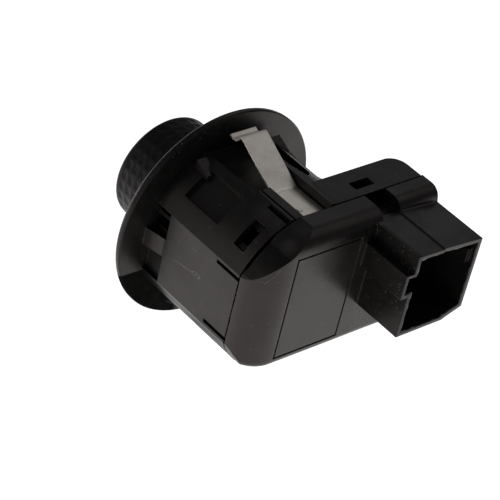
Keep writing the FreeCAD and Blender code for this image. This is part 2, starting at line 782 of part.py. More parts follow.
def panel_spring(name, turn):
    """Bent leaf spring that grips the door panel's edge; turn puts it on top or below."""
    body = new_body(name)
    top = spring_seat + S.spring_thick
    spring_tip = spring_crest - S.tip_drop
    rise = (spring_crest - top) / (S.spring_bend_y - S.spring_crest_y)
    fall = (spring_crest - spring_tip) / (S.spring_crest_y - S.spring_tip_y)
    drop_arm = S.spring_thick * root(rise * rise + 1)
    drop_tip = S.spring_thick * root(fall * fall + 1)
    shift = (drop_arm - drop_tip) / (rise + fall)
    tail = S.seam_y + S.spring_tail
    under_crest = spring_crest + rise * shift - drop_arm
    side = [
        (tail, top), (S.spring_bend_y, top, 1.0), (S.spring_crest_y, spring_crest, 0.9),
        (S.spring_tip_y, spring_tip), (S.spring_tip_y + 0.25, spring_tip - drop_tip + 0.17),
        (S.spring_crest_y - shift, under_crest, 0.4),
        (S.spring_bend_y - (drop_arm - S.spring_thick) / rise, spring_seat, 1.5),
        (tail, spring_seat),
    ]
    half = S.spring_width / 2
    prism(body, "leaf", "X", -half, S.spring_width, side)
    body.Placement = FreeCAD.Placement(
        FreeCAD.Vector(0, 0, 0), FreeCAD.Rotation(FreeCAD.Vector(0, 1, 0), turn))
    return body


def gimbal_ring():
    """Ring that tilts in the body's lugs and carries the tilting cup inside it."""
    body = new_body("gimbal_ring")
    turned(body, "ring", [(ring_inner, ring_front), (S.ring_radius, ring_front),
                          (S.ring_radius, ring_back), (ring_inner, ring_back)])
    length = S.trunnion_radius * 2 + 0.3
    for side, name in ((1, "right"), (-1, "left")):
        start = S.ring_radius - 0.3 if side > 0 else -(S.ring_radius - 0.3 + length)
        rods(body, "trunnion_" + name, "X", start, length, [(S.pivot_y, ZERO, S.trunnion_radius)])
    hole = S.trunnion_radius + S.running_gap
    rods(body, "cup_holes", "Z", -S.ring_radius - 1.0, S.ring_radius * 2 + 2.0,
         [(ZERO, S.pivot_y, hole)], cut=True)
    return body


def tilt_cup():
    """Cup that swings in the ring, guides the stem and pushes the plungers with its plate."""
    body = new_body("tilt_cup")
    bore = S.stem_radius + S.running_gap
    cavity_y = S.pivot_y - 2.4
    plate_front = plate_rear_y - S.plate_thick
    turned(body, "cup", [
        (bore, -0.6), (S.sleeve_radius, -0.6), (S.sleeve_radius, cavity_y - 1.4),
        (S.cup_radius, cavity_y - 0.2), (S.cup_radius, plate_front),
        (S.plate_radius, plate_front), (S.plate_radius, plate_rear_y),
        (S.cup_bore, plate_rear_y), (S.cup_bore, cavity_y), (bore, cavity_y),
    ])
    end = S.ring_radius - 0.3
    for side, name in ((1, "upper"), (-1, "lower")):
        start = S.cup_radius - 0.4 if side > 0 else -end
        rods(body, "trunnion_" + name, "Z", start, end - S.cup_radius + 0.4,
             [(ZERO, S.pivot_y, S.trunnion_radius)])
    return body


def stem():
    """Turned shaft from the knob to the ball at the tilt centre."""
    body = new_body("stem")
    shoulder = S.pivot_y - 2.35
    ball = S.ball_radius
    clip = as_size(-1.25)
    turned(body, "shaft", [
        (ZERO, -(S.knob_front_y - 2.6)), (S.stem_radius - 0.4, -(S.knob_front_y - 2.6)),
        (S.stem_radius, -(S.knob_front_y - 3.0)), (S.stem_radius, clip - 0.05),
        (S.stem_radius - 0.5, clip - 0.05), (S.stem_radius - 0.5, clip + 0.55),
        (S.stem_radius, clip + 0.55), (S.stem_radius, shoulder),
        (S.stem_radius + 0.5, shoulder), (S.stem_radius + 0.5, shoulder + 0.4),
        (S.neck_radius, shoulder + 0.4), (S.neck_radius, S.pivot_y - ball * 0.75),
        (ball, S.pivot_y - ball * 0.45), (ball, S.pivot_y + ball * 0.45),
        (S.neck_radius, S.pivot_y + ball * 0.95), (ZERO, S.pivot_y + ball * 0.95),
    ])
    rods(body, "pin_hole", "X", -4.0, as_size(8.0), [(S.pivot_y, ZERO, S.drive_pin_radius)],
         cut=True)
    flat = rectangle(S.stem_radius - 0.6, -3.0, S.stem_radius + 1.0, 3.0)
    prism(body, "drive_flat", "Y", -(S.knob_front_y - 2.0), as_size(9.0), flat, cut=True)
    return body


def stem_clip():
    """Open retaining ring in the stem's groove, in front of the cup's sleeve."""
    body = new_body("stem_clip")
    inner = S.stem_radius - 0.45
    rods(body, "ring", "Y", -1.25, as_size(0.5), [(ZERO, ZERO, S.sleeve_radius - 0.2)])
    rods(body, "hole", "Y", -2.0, as_size(2.0), [(ZERO, ZERO, inner)], cut=True)
    gap = rectangle(-1.4, -S.sleeve_radius, 1.4, ZERO)
    prism(body, "gap", "Y", -2.0, as_size(2.0), gap, cut=True)
    return body


def drive_pin():
    """Cross pin in the stem's ball that turns the selector at any tilt."""
    body = new_body("drive_pin")
    rods(body, "pin", "X", -S.drive_pin_half, S.drive_pin_half * 2,
         [(S.pivot_y, ZERO, S.drive_pin_radius)])
    return body


def selector_rotor():
    """Tube with drive slots, selector disc with three detent notches, and a bearing bore."""
    body = new_body("selector_rotor")
    front = S.pivot_y - 1.1
    hub_end = cover_inner_y - 0.3
    turned(body, "rotor", [
        (S.rotor_tube_bore, front), (S.rotor_tube_radius, front),
        (S.rotor_tube_radius, disc_front_y), (S.disc_radius, disc_front_y),
        (S.disc_radius, disc_back_y), (S.rotor_tube_radius, disc_back_y),
        (S.rotor_tube_radius, hub_end), (S.pintle_radius + S.running_gap, hub_end),
        (S.pintle_radius + S.running_gap, disc_back_y + 0.2), (ZERO, disc_back_y + 0.2),
        (ZERO, S.pivot_y + 3.0), (S.rotor_tube_bore, S.pivot_y + 3.0),
    ])
    half = S.drive_pin_radius + 0.06
    slot = rectangle(front - 1.0, -half, S.pivot_y + 1.1, half)
    prism(body, "drive_slots", "X", -S.rotor_tube_radius - 1.0, S.rotor_tube_radius * 2 + 2.0,
          slot, cut=True)
    notches = []
    for step in (-1, 0, 1):
        angle = 90 + step * S.select_step
        notches.append((S.disc_radius * cosine(angle) * 1.03,
                        S.disc_radius * sine(angle) * 1.03, S.notch_radius))
    rods(body, "notches", "Y", disc_front_y - 0.5, S.disc_thick + 1.0, notches, cut=True)
    return body


def selector_wiper():
    """Sprung brass bridge under the selector disc, with two fingers that sweep the board."""
    body = new_body("selector_wiper")
    face = disc_front_y - 0.3
    rods(body, "disc", "Y", face, as_size(0.3), [(ZERO, ZERO, S.disc_radius - 1.0)])
    rods(body, "hole", "Y", face - 0.5, as_size(1.5),
         [(ZERO, ZERO, S.rotor_tube_radius + S.running_gap)], cut=True)
    trim = rectangle(-S.disc_radius, -S.disc_radius, S.disc_radius, -1.6)
    prism(body, "trim", "Y", face - 0.5, as_size(1.5), trim, cut=True)
    right = rectangle(S.disc_radius - 2.6, -1.2, S.disc_radius - 1.4, 2.2)
    prism(body, "fingers", "Y", board_back_y + 0.15, face - board_back_y - 0.15 + 0.1,
          right, mirrored_x(right))
    return body


def detent_spring():
    """Bowed leaf whose nose drops into the selector disc's notches."""
    body = new_body("detent_spring")
    t = 0.3
    base = S.disc_radius + 2.6
    nose = S.disc_radius * 1.03 - S.notch_radius + 0.35
    top = [(detent_half, base + t), (1.6, base + t), (0.5, nose + t + 0.5),
           (-0.5, nose + t + 0.5), (-1.6, base + t), (-detent_half, base + t)]
    low = [(-detent_half, base), (-1.8, base), (-0.6, nose), (0.6, nose), (1.8, base),
           (detent_half, base)]
    prism(body, "leaf", "Y", disc_front_y + 0.1, as_size(1.6), top + low)
    for side, name in ((1, "right"), (-1, "left")):
        foot = rectangle(detent_half - 0.1, base - 1.0, detent_half + 0.15, base + t)
        prism(body, "foot_" + name, "Y", disc_front_y + 0.1, as_size(1.6),
              foot if side > 0 else mirrored_x(foot))
    return body


def guide_cup():
    """Inner cup behind the gimbal: closes the lugs, guides the plungers, carries the mat."""
    body = new_body("guide_cup")
    gap = 0.15
    cut_in = 2.6
    low_x = low_corner_x - 1.0
    low_z = bore_side_z - 1.0
    outer = [(low_x, -guide_bottom), (bore_side - gap, -low_z),
             (bore_side - gap, bore_side_z - cut_in),
             (bore_top_x - cut_in * 0.9, bore_top - gap - 0.3),
             (-(bore_top_x - cut_in * 0.9), bore_top - gap - 0.3),
             (-(bore_side - gap), bore_side_z - cut_in), (-(bore_side - gap), -low_z),
             (-low_x, -guide_bottom)]
    t = 1.2
    inner = [(low_x - t * 0.5, -guide_bottom + t), (bore_side - gap - t, -low_z + t * 0.5),
             (bore_side - gap - t, bore_side_z - cut_in - 0.5),
             (bore_top_x - cut_in * 0.9 - 0.5, bore_top - gap - 0.3 - t),
             (-(bore_top_x - cut_in * 0.9 - 0.5), bore_top - gap - 0.3 - t),
             (-(bore_side - gap - t), bore_side_z - cut_in - 0.5),
             (-(bore_side - gap - t), -low_z + t * 0.5), (-(low_x - t * 0.5), -guide_bottom + t)]
    depth = mat_front_y - S.guide_front_y
    prism(body, "block", "Y", S.guide_front_y, depth, outer)
    prism(body, "hollow", "Y", S.guide_front_y + S.guide_thick, depth, inner, cut=True)
    feet = rectangle(lug_face + 0.8, -2.2, bore_side - 0.6, 2.2)
    lug_back = ring_back + S.part_gap
    prism(body, "feet", "Y", lug_back + 0.05, S.guide_front_y - lug_back + 0.05,
          feet, mirrored_x(feet))
    reach = S.rotor_tube_radius + S.running_gap
    holes = [(ZERO, ZERO, reach)]
    for x, z in plunger_spots():
        holes.append((x, z, S.plunger_radius + S.running_gap))
    rods(body, "guide_holes", "Y", S.guide_front_y - 1.0, S.guide_thick + 2.0, holes, cut=True)
    return body


def plunger_spots():
    """Plunger centres: up, down, right and left."""
    r = S.plunger_circle
    return [(ZERO, r), (ZERO, -r), (r, ZERO), (-r, ZERO)]


def plunger(name, x, z):
    """Pin between the tilting plate and a dome, with a collar behind the guide wall."""
    body = new_body(name)
    tip = plate_rear_y + 0.12
    collar = S.guide_front_y + S.guide_thick + 0.75
    rods(body, "pin", "Y", tip, dome_top_y - 0.1 - tip, [(x, z, S.plunger_radius)])
    round_edges(body, "tip_round", 0.6, lambda e: edge_at(e, y=tip) and len(e.Vertexes) == 1)
    rods(body, "collar", "Y", collar, as_size(0.9), [(x, z, S.plunger_head)])
    return body


def dome_mat():
    """Silicone mat with a dome over each contact, which pushes its plunger back."""
    body = new_body("dome_mat")
    side = bore_side - 1.1
    left = S.blade_column_a - S.blade_thick / 2 - 0.43
    low_x = low_corner_x - 1.2
    low_z = bore_side_z - 1.2
    mat = [(low_x, -guide_bottom + 0.3), (side, -low_z), (side, bore_side_z - 3.0),
           (bore_top_x - 2.9, bore_top - 0.8), (-(bore_top_x - 2.9), bore_top - 0.8),
           (-left, bore_side_z - 3.0), (-left, -low_z), (-low_x, -guide_bottom + 0.3)]
    prism(body, "sheet", "Y", mat_front_y + 0.05, S.mat_thick - 0.1, mat)
    domes = [(x, z, S.dome_radius) for x, z in plunger_spots()]
    rods(body, "domes", "Y", dome_top_y, S.dome_rise + 0.2, domes)
    round_edges(body, "dome_round", 0.8,
                lambda e: edge_at(e, y=dome_top_y) and len(e.Vertexes) == 1)
    hollows = [(x, z, S.dome_radius - 0.6) for x, z in plunger_spots()]
    rods(body, "dome_hollows", "Y", dome_top_y + 0.7, S.dome_rise + S.mat_thick, hollows, cut=True)
    rods(body, "rotor_hole", "Y", dome_top_y - 1.0, S.dome_rise + S.mat_thick + 2.0,
         [(ZERO, ZERO, S.rotor_tube_radius + 0.5)], cut=True)
    return body


def contact_board():
    """Circuit board across the barrel and the box, with the terminals at its far end."""
    body = new_body("contact_board")
    edge = 0.35
    plate = [(-(inner_end - edge), -(inner_bottom - edge)),
             (low_corner_x - 1.2, -(inner_bottom - edge)),
             (bore_side - edge, -(bore_side_z - 1.2)),
             (bore_side - edge, bore_side_z - 3.2), (bore_top_x - 3.4, bore_top - edge),
             (-(inner_end - edge), bore_top - edge)]
    prism(body, "plate", "Y", S.board_front_y, S.board_thick, plate)
    rods(body, "rotor_hole", "Y", S.board_front_y - 1.0, S.board_thick + 2.0,
         [(ZERO, ZERO, S.rotor_tube_radius + 0.3)], cut=True)
    slots = [blade_section(x, z, 0.05) for x, z in blade_spots()]
    prism(body, "terminal_slots", "Y", S.board_front_y - 1.0, S.board_thick + 2.0, *slots,
          cut=True)
    hook_room = rectangle(-15.6, -inner_bottom - 0.5, -12.5, -inner_bottom + 1.55)
    prism(body, "hook_room", "Y", S.board_front_y - 1.0, S.board_thick + 2.0, hook_room,
          cut=True)
    return body


def terminal(name, x, z):
    """Straight blade, soldered in the board and standing in the socket."""
    body = new_body(name)
    front = S.board_front_y - 0.8
    prism(body, "blade", "Y", front, back_y + S.blade_reach - front, blade_section(x, z))
    tip_y = back_y + S.blade_reach
    tip = body.Tip
    chamfer = body.newObject("PartDesign::Chamfer", name + "_lead_in")
    edges = ["Edge%d" % (i + 1) for i, e in enumerate(tip.Shape.Edges) if edge_at(e, y=tip_y)]
    chamfer.Base = (tip, edges)
    chamfer.Size = 0.2
    doc.recompute()
    return body


def knob_hub():
    """Hard core of the knob: socket for the stem, ribs and the wall under the grip."""
    body = new_body("knob_hub")
    front = -(S.knob_front_y - S.cap_recess - S.cap_thick)
    base = -(S.knob_base_y + 0.4)
    wall_out = S.knob_front_radius - S.grip_wall
    bore = S.stem_radius + 0.02
    socket_end = as_size(-2.2)
    turned(body, "hub", [
        (bore, socket_end), (bore, -(S.knob_front_y - 2.55)), (ZERO, -(S.knob_front_y - 2.55)),
        (ZERO, front), (wall_out, front), (wall_out, base), (wall_out - 1.3, base),
        (wall_out - 1.3, front + 1.3), (bore + 1.7, front + 1.3), (bore + 1.7, socket_end),
    ])
    outer = wall_out - 0.6
    across = rectangle(-outer, -0.5, -(bore + 1.2), 0.5)
    upright = rectangle(-0.5, bore + 1.2, 0.5, outer)
    prism(body, "ribs", "Y", front + 0.8, base - front - 1.4,
          across, mirrored_x(across), upright, mirrored_y(upright))
    return body


def knob_grip():
    """Soft sleeve of the knob, slightly tapered, with a rounded front edge."""
    body = new_body("knob_grip")
    inner = S.knob_front_radius - S.grip_wall + 0.01
    front = -S.knob_front_y
    base = -S.knob_base_y
    turned(body, "sleeve", [
        (inner, base), (inner, front + S.cap_recess + S.cap_thick),
        (inner - 0.0, front), (S.knob_front_radius, front, S.knob_edge_round),
        (S.knob_base_radius, base + -0.8), (S.knob_base_radius - 0.3, base),
    ])
    return body


def knob_cap():
    """Front disc of the knob, slightly domed, with a raised pointer bar."""
    body = new_body("knob_cap")
    radius = S.knob_front_radius - S.grip_wall - 0.05
    back = -(S.knob_front_y - S.cap_recess - S.cap_thick)
    front = back - S.cap_thick
    turned(body, "disc", [
        (ZERO, back - 0.02), (ZERO, front), (radius - 1.0, front), (radius, front + 0.5),
        (radius, back - 0.02),
    ])
    bar = rectangle(-0.45, radius * 0.45, 0.45, radius * 0.85)
    prism(body, "pointer", "Y", front - 0.25, as_size(0.35), bar)
    return body


def build():
    """Make every sub-part."""
    bodies = [switch_body(), rear_cover()]
    bodies.append(panel_spring("panel_spring_upper", 0))
    bodies.append(panel_spring("panel_spring_lower", 180))
    bodies += [gimbal_ring(), tilt_cup(), stem(), stem_clip(), drive_pin()]
    bodies += [selector_rotor(), selector_wiper(), detent_spring()]
    bodies += [guide_cup(), dome_mat(), contact_board()]
    names = ("plunger_up", "plunger_down", "plunger_right", "plunger_left")
    for name, (x, z) in zip(names, plunger_spots()):
        bodies.append(plunger(name, x, z))
    for number, (x, z) in enumerate(blade_spots(), start=1):
        bodies.append(terminal("terminal_%d" % number, x, z))
    bodies += [knob_hub(), knob_grip(), knob_cap()]
    return bodies


def check_and_write(bodies):
    """Refuse failed features and bad solids, then write one file for each sub-part."""
    doc.recompute()
    for item in doc.Objects:
        if "Invalid" in item.State or "Error" in item.State:
            raise RuntimeError(item.Name + " failed: " + ", ".join(item.State))
    for body in bodies:
        if body.Shape.isNull() or not body.Shape.isValid():
            raise RuntimeError(body.Label + " has no valid shape")
        if len(body.Shape.Solids) != 1:
            raise RuntimeError(body.Label + " is not one solid")
    os.makedirs("parts", exist_ok=True)
    for body in bodies:
        body.Shape.exportStep("parts/%s.step" % body.Label)
        print(body.Label, round(body.Shape.Volume, 2))


check_and_write(build())
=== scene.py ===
from functools import reduce

import bpy
import numpy as np
from mathutils import Matrix, Vector


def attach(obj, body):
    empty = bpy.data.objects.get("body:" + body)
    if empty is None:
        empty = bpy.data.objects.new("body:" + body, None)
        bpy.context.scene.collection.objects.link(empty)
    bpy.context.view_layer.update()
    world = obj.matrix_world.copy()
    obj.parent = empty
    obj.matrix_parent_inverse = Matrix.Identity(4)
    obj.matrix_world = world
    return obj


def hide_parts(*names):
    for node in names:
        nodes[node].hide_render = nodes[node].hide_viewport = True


# Door mirror switch, seen from behind: knob at -Y, flange in the plane Y = 0,
# leaf spring on top (+Z), connector shroud at the rear towards -X. The scene is in metres;
# grids and outlines are worked out in millimetres, and surface() turns them into metres.

MM = 0.001

# Sizes that the solids share, in millimetres
FLANGE_RADIUS = 22.5
KNOB_FRONT_Y = -16.85
KNOB_BASE_Y = -3.1
KNOB_FRONT_RADIUS = 11.25
KNOB_BASE_RADIUS = 11.6
GRIP_INNER_RADIUS = 9.78
BARREL_RADIUS = 17.8
FLAT_X = 16.05       # the barrel's flat side
SEAM_Y = 24.5        # the body ends here
COVER_Y = 24.65      # the cover starts here
BACK_Y = 31.0        # the cover's rear
MOUTH_Y = 41.85      # the shroud's mouth
ROUND_RADIUS = 6.3   # the cover's upright round corner, with its centre
ROUND_X = FLAT_X - ROUND_RADIUS
ROUND_Y = BACK_Y - ROUND_RADIUS

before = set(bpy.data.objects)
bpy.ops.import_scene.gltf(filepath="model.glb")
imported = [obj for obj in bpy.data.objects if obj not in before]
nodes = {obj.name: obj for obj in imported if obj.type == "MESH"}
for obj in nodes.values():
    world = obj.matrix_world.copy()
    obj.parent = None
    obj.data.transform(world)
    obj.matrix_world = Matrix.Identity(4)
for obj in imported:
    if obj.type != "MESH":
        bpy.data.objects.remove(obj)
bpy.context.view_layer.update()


# Meshes

def surface(name, points, around=False, closed=False, capped=False):
    """Quads between the neighbours of a grid of points (rows, columns, 3) in millimetres.

    around joins the last column to the first one, closed joins the last row to the first one,
    and capped fills the first and the last row with one face each.
    """
    rows, columns = points.shape[:2]
    index = np.arange(rows * columns).reshape(rows, columns)
    caps = [index[0].tolist(), index[-1, ::-1].tolist()] if capped else []
    if around:
        index = np.concatenate([index, index[:, :1]], axis=1)
    if closed:
        index = np.concatenate([index, index[:1]], axis=0)
    quads = np.stack([index[:-1, :-1], index[1:, :-1], index[1:, 1:], index[:-1, 1:]], axis=-1)
    mesh = bpy.data.meshes.new(name)
    mesh.from_pydata((points.reshape(-1, 3) * MM).tolist(), [],
                     quads.reshape(-1, 4).tolist() + caps)
    mesh.update()
    return mesh


def piece(name, mesh, body, material, smooth=True):
    """Put a finished mesh into the scene on its body, with its finish."""
    item = bpy.data.objects.new(name, mesh)
    bpy.context.scene.collection.objects.link(item)
    mesh.materials.append(material)
    mesh.polygons.foreach_set("use_smooth", np.full(len(mesh.polygons), smooth))
    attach(item, body)
    return item


def outward(mesh):
    """Turn the faces of a closed mesh outwards.

    The signed volume is the sum of a . (b x c) over its triangles; where it is negative, the
    faces point inwards.
    """
    corners = np.empty(len(mesh.vertices) * 3)
    mesh.vertices.foreach_get("co", corners)
    mesh.calc_loop_triangles()
    triangles = np.empty(len(mesh.loop_triangles) * 3, dtype=np.int32)
    mesh.loop_triangles.foreach_get("vertices", triangles)
    a, b, c = (corners.reshape(-1, 3)[triangles.reshape(-1, 3)[:, k]] for k in range(3))
    if np.einsum("ij,ij->i", a, np.cross(b, c)).sum() < 0:
        mesh.flip_normals()
    return mesh


def path_points(corners, step=0.12):
    """Points along a chain of straight runs whose corners are rounded.

    Each corner is (x, y, radius). Its arc touches both runs at radius / tan(half the angle
    between them) from the corner, and is centred radius / sin(half the angle) away from the
    corner, on the line that halves the angle.
    """
    spots = np.array([c[:2] for c in corners], dtype=float)
    radii = [c[2] if len(c) > 2 else 0.0 for c in corners]
    chain = [spots[0]]
    for here, before, after, radius in zip(spots[1:-1], spots[:-2], spots[2:], radii[1:-1]):
        if radius == 0.0:
            chain.append(here)
            continue
        u = (before - here) / np.linalg.norm(before - here)
        v = (after - here) / np.linalg.norm(after - here)
        half = np.arccos(np.clip(u @ v, -1, 1)) / 2
        run = radius / np.tan(half)
        centre = here + (u + v) / np.linalg.norm(u + v) * radius / np.sin(half)
        start = np.arctan2(*(here + u * run - centre)[::-1])
        stop = np.arctan2(*(here + v * run - centre)[::-1])
        sweep = (stop - start + np.pi) % (2 * np.pi) - np.pi
        angles = start + sweep * np.linspace(0, 1, max(4, int(radius * abs(sweep) / step)))
        chain.extend(centre + radius * np.stack([np.cos(angles), np.sin(angles)], axis=-1))
    chain.append(spots[-1])
    return np.array(chain)


def dense(chain, step):
    """The same chain with extra points, so that no run is longer than step."""
    lengths = np.linalg.norm(np.diff(chain, axis=0), axis=1)
    pieces = [np.linspace(a, b, max(1, int(np.ceil(n / step))), endpoint=False)
              for a, b, n in zip(chain[:-1], chain[1:], lengths)]
    return np.concatenate(pieces + [chain[-1:]])


def directions(chain):
    """Unit directions along a chain of points."""
    ahead = np.gradient(chain, axis=0)
    return ahead / np.linalg.norm(ahead, axis=1, keepdims=True)


def turned(chain, columns):
    """Revolve a chain of (radius, y) about the knob axis: x = r sin a, z = r cos a."""
    angle = np.linspace(0, 2 * np.pi, columns, endpoint=False)
    radius = chain[:, :1]
    return np.stack([radius * np.sin(angle), np.broadcast_to(chain[:, 1:], (len(chain), columns)),
                     radius * np.cos(angle)], axis=-1)


# Materials

def shader(name, color, roughness, metallic=0.0, specular=0.5):
    """A Principled material with its plain values set, and short names for its tree."""
    material = bpy.data.materials.new(name)
    material.use_nodes = True
    tree = material.node_tree
    base = tree.nodes["Principled BSDF"]
    base.inputs["Base Color"].default_value = (*color, 1.0)
    base.inputs["Roughness"].default_value = roughness
    base.inputs["Metallic"].default_value = metallic
    base.inputs["Specular IOR Level"].default_value = specular
    return material, tree, base


def add(tree, kind, **values):
    """Add a node; values go to its inputs by name, or to its own settings."""
    node = tree.nodes.new(kind)
    for key, value in values.items():
        plain = key.replace("_", " ")
        if plain in node.inputs:
            node.inputs[plain].default_value = value
        else:
            setattr(node, key, value)
    return node


def noise(tree, place, scale, detail=3.0, roughness=0.6):
    """Noise of about 1/scale metres on the object's own coordinates."""
    node = add(tree, "ShaderNodeTexNoise", Scale=scale, Detail=detail, Roughness=roughness)
    tree.links.new(place, node.inputs["Vector"])
    return node.outputs["Fac"]


def band(tree, value, low, high, out_low, out_high):
    """Map value from low..high to out_low..out_high, held at both ends."""
    node = add(tree, "ShaderNodeMapRange", interpolation_type="SMOOTHSTEP")
    tree.links.new(value, node.inputs["Value"])
    for key, number in zip(("From Min", "From Max", "To Min", "To Max"),
                           (low, high, out_low, out_high)):
        node.inputs[key].default_value = number
    return node.outputs["Result"]


def arithmetic(tree, operation, first, second):
    """Join two values, each a number or a node's output, by one operation."""
    node = add(tree, "ShaderNodeMath", operation=operation)
    for socket, value in zip(node.inputs, (first, second)):
        if isinstance(value, (int, float)):
            socket.default_value = value
        else:
            tree.links.new(value, socket)
    return node.outputs[0]


def total(tree, *values):
    """Values added from left to right."""
    return reduce(lambda first, second: arithmetic(tree, "ADD", first, second), values)


def product(tree, *values):
    """Values multiplied from left to right."""
    return reduce(lambda first, second: arithmetic(tree, "MULTIPLY", first, second), values)


def blended(tree, factor, first, second):
    """Mix two colours by a factor."""
    node = add(tree, "ShaderNodeMix", data_type="RGBA")
    tree.links.new(factor, node.inputs["Factor"])
    for key, value in (("A", first), ("B", second)):
        socket = [s for s in node.inputs if s.name == key and s.type == "RGBA"][0]
        if isinstance(value, tuple):
            socket.default_value = (*value, 1.0)
        else:
            tree.links.new(value, socket)
    return [s for s in node.outputs if s.type == "RGBA"][0]


def shade(color, factor, lift=0.0):
    """A colour times a factor, lifted a little."""
    return tuple(c * factor + lift for c in color)


def within(tree, value, low, high, soft):
    """1 where value lies between low and high, falling to 0 over soft on both sides."""
    rise = band(tree, value, low - soft, low, 0.0, 1.0)
    fall = band(tree, value, high, high + soft, 1.0, 0.0)
    return product(tree, rise, fall)


def object_place(tree):
    """The object's own coordinates, which are the frame's."""
    return add(tree, "ShaderNodeTexCoord").outputs["Object"]


def axes_of(tree, place):
    """The three object coordinates and the distance from the knob's axis."""
    parts = add(tree, "ShaderNodeSeparateXYZ")
    tree.links.new(place, parts.inputs[0])
    x, y, z = parts.outputs
    square = total(tree, product(tree, x, x), product(tree, z, z))
    return x, y, z, arithmetic(tree, "POWER", square, 0.5)


def stretched(tree, place, scale, turn=(0.0, 0.0, 0.0)):
    """Coordinates scaled and turned, so that a noise on them draws out into streaks."""
    node = add(tree, "ShaderNodeMapping")
    node.inputs["Scale"].default_value = scale
    node.inputs["Rotation"].default_value = turn
    tree.links.new(place, node.inputs["Vector"])
    return node.outputs[0]


def raised(tree, base, height, strength, distance, normal=None):
    """Bump by height; normal is the one that it starts from, where that isn't the mesh's."""
    bump = add(tree, "ShaderNodeBump", Strength=strength, Distance=distance)
    tree.links.new(height, bump.inputs["Height"])
    if normal is not None:
        tree.links.new(normal, bump.inputs["Normal"])
    tree.links.new(bump.outputs[0], base.inputs["Normal"])


# Moulded plastic: waves per metre of its noises, the pair of noise values between which
# each kind of wear sets in, and the colours of its wear and dust, of its painted highlights
# and of the painted shade in its seams
GRAIN_WAVES = 5200.0
FLOW_WAVES = 130.0
CLOUD_WAVES = 420.0
HAIR_WAVES = 2600.0
SPECK_WAVES = 1300.0
HAIR_PEAK = (0.66, 0.74)
SCRATCHED_FLOW = (0.45, 0.65)
SPECK_CORE = (0.08, 0.15)
DUSTY_CLOUD = (0.555, 0.63)
EDGE_LEAN = (0.80, 0.985)
WORN_COLOR = (0.07, 0.07, 0.07)
DUST_COLOR = (0.34, 0.32, 0.29)
# painted highlight: a paler tone standing in for glossy reflections
PAINTED_HIGHLIGHT_COLOR = (0.055, 0.051, 0.049)
# painted shade: near black, for the shadow in the seam's gap
SEAM_SHADE_COLOR = (0.0005, 0.0005, 0.0005)
WARM_GLOSS = (1.0, 0.86, 0.82, 1.0)


def edge_wear(tree, radius):
    """Normal rounded over radius at edges, and how far it leans from the face's own.

    The lean is read from the dot product of the two normals, which falls below 1 at an edge.
    """
    rounded = add(tree, "ShaderNodeBevel", samples=6)
    rounded.inputs["Radius"].default_value = radius
    geometry = add(tree, "ShaderNodeNewGeometry")
    facing = add(tree, "ShaderNodeVectorMath", operation="DOT_PRODUCT")
    tree.links.new(rounded.outputs[0], facing.inputs[0])
    tree.links.new(geometry.outputs["Normal"], facing.inputs[1])
    return rounded.outputs[0], band(tree, facing.outputs["Value"], *EDGE_LEAN, 0.30, 0.0)


def moulded(name, color, roughness, grain=0.25, edge=0.16, dust=1.0, gloss=0.42, zones=None):
    """Moulded plastic: grain and flow in the bump, worn edges, specks of dust, fine scratches.

    Specks are the cores of random cells where a cloudy noise is high, and scratches are the
    peaks of a noise drawn out along one direction. zones gives the gloss from place to place,
    the painted shade of the seam's gap (near black, without gloss), the places where dust
    gathers, and the painted highlights: paler patches that stand in for glossy reflections.
    """
    material, tree, base = shader(name, color, roughness, specular=gloss)
    base.inputs["Specular Tint"].default_value = WARM_GLOSS
    place = object_place(tree)
    area = zones(tree, place, gloss) if zones is not None else None
    fine = noise(tree, place, GRAIN_WAVES, 2.0)
    flow = noise(tree, place, FLOW_WAVES, 4.0, 0.55)
    cloud = noise(tree, place, CLOUD_WAVES, 5.0, 0.65)
    long_way = stretched(tree, place, (1.0, 0.06, 1.0), (0.5, 0.3, 0.7))
    hairs = band(tree, noise(tree, long_way, HAIR_WAVES, 2.0), *HAIR_PEAK, 0.0, 1.0)
    scratches = product(tree, hairs, band(tree, flow, *SCRATCHED_FLOW, 0.0, 1.0))
    cells = add(tree, "ShaderNodeTexVoronoi", Scale=SPECK_WAVES, Randomness=1.0)
    tree.links.new(place, cells.inputs["Vector"])
    speck = band(tree, cells.outputs["Distance"], *SPECK_CORE, 1.0, 0.0)
    gathered = cloud
    if area is not None:
        gathered = total(tree, cloud, product(tree, area["dust"], 0.10))
    specks = product(tree, speck, band(tree, gathered, *DUSTY_CLOUD, 0.0, 0.55 * dust))
    rounded, rim = edge_wear(tree, edge * MM)

    tint = blended(tree, band(tree, cloud, 0.35, 0.7, 0.0, 1.0), color, shade(color, 1.35, 0.002))
    tint = blended(tree, rim, tint, WORN_COLOR)
    tint = blended(tree, scratches, tint, shade(color, 1.7, 0.01))
    tint = blended(tree, specks, tint, DUST_COLOR)
    if area is not None:
        # painted highlights: paler patches in place of glossy reflections
        tint = blended(tree, area["painted_highlight"], tint, PAINTED_HIGHLIGHT_COLOR)
        # painted shade in the seam's gap: near black, and without gloss below
        tint = blended(tree, area["joint"], tint, SEAM_SHADE_COLOR)
        bright = band(tree, area["joint"], 0.0, 1.0, 1.0, 0.0)
        tree.links.new(product(tree, area["gloss"], bright), base.inputs["Specular IOR Level"])
    tree.links.new(tint, base.inputs["Base Color"])
    rough = total(tree, band(tree, flow, 0.3, 0.7, roughness - 0.05, roughness + 0.07),
                  product(tree, scratches, 0.12), product(tree, specks, 0.3))
    tree.links.new(rough, base.inputs["Roughness"])
    height = total(tree, product(tree, fine, grain), product(tree, cloud, grain * 1.6))
    raised(tree, base, height, 0.35, 0.00006, rounded)
    return material


# Rolled metal: waves per metre of its noises, and where its pits and patches set in
STREAK_WAVES = 3000.0
PATCH_WAVES = 380.0
PIT_WAVES = 4200.0
PIT_PEAK = (0.70, 0.78)
PATCH_PEAK = (0.4, 0.75)
POLISHED_ROUGHNESS = -0.16


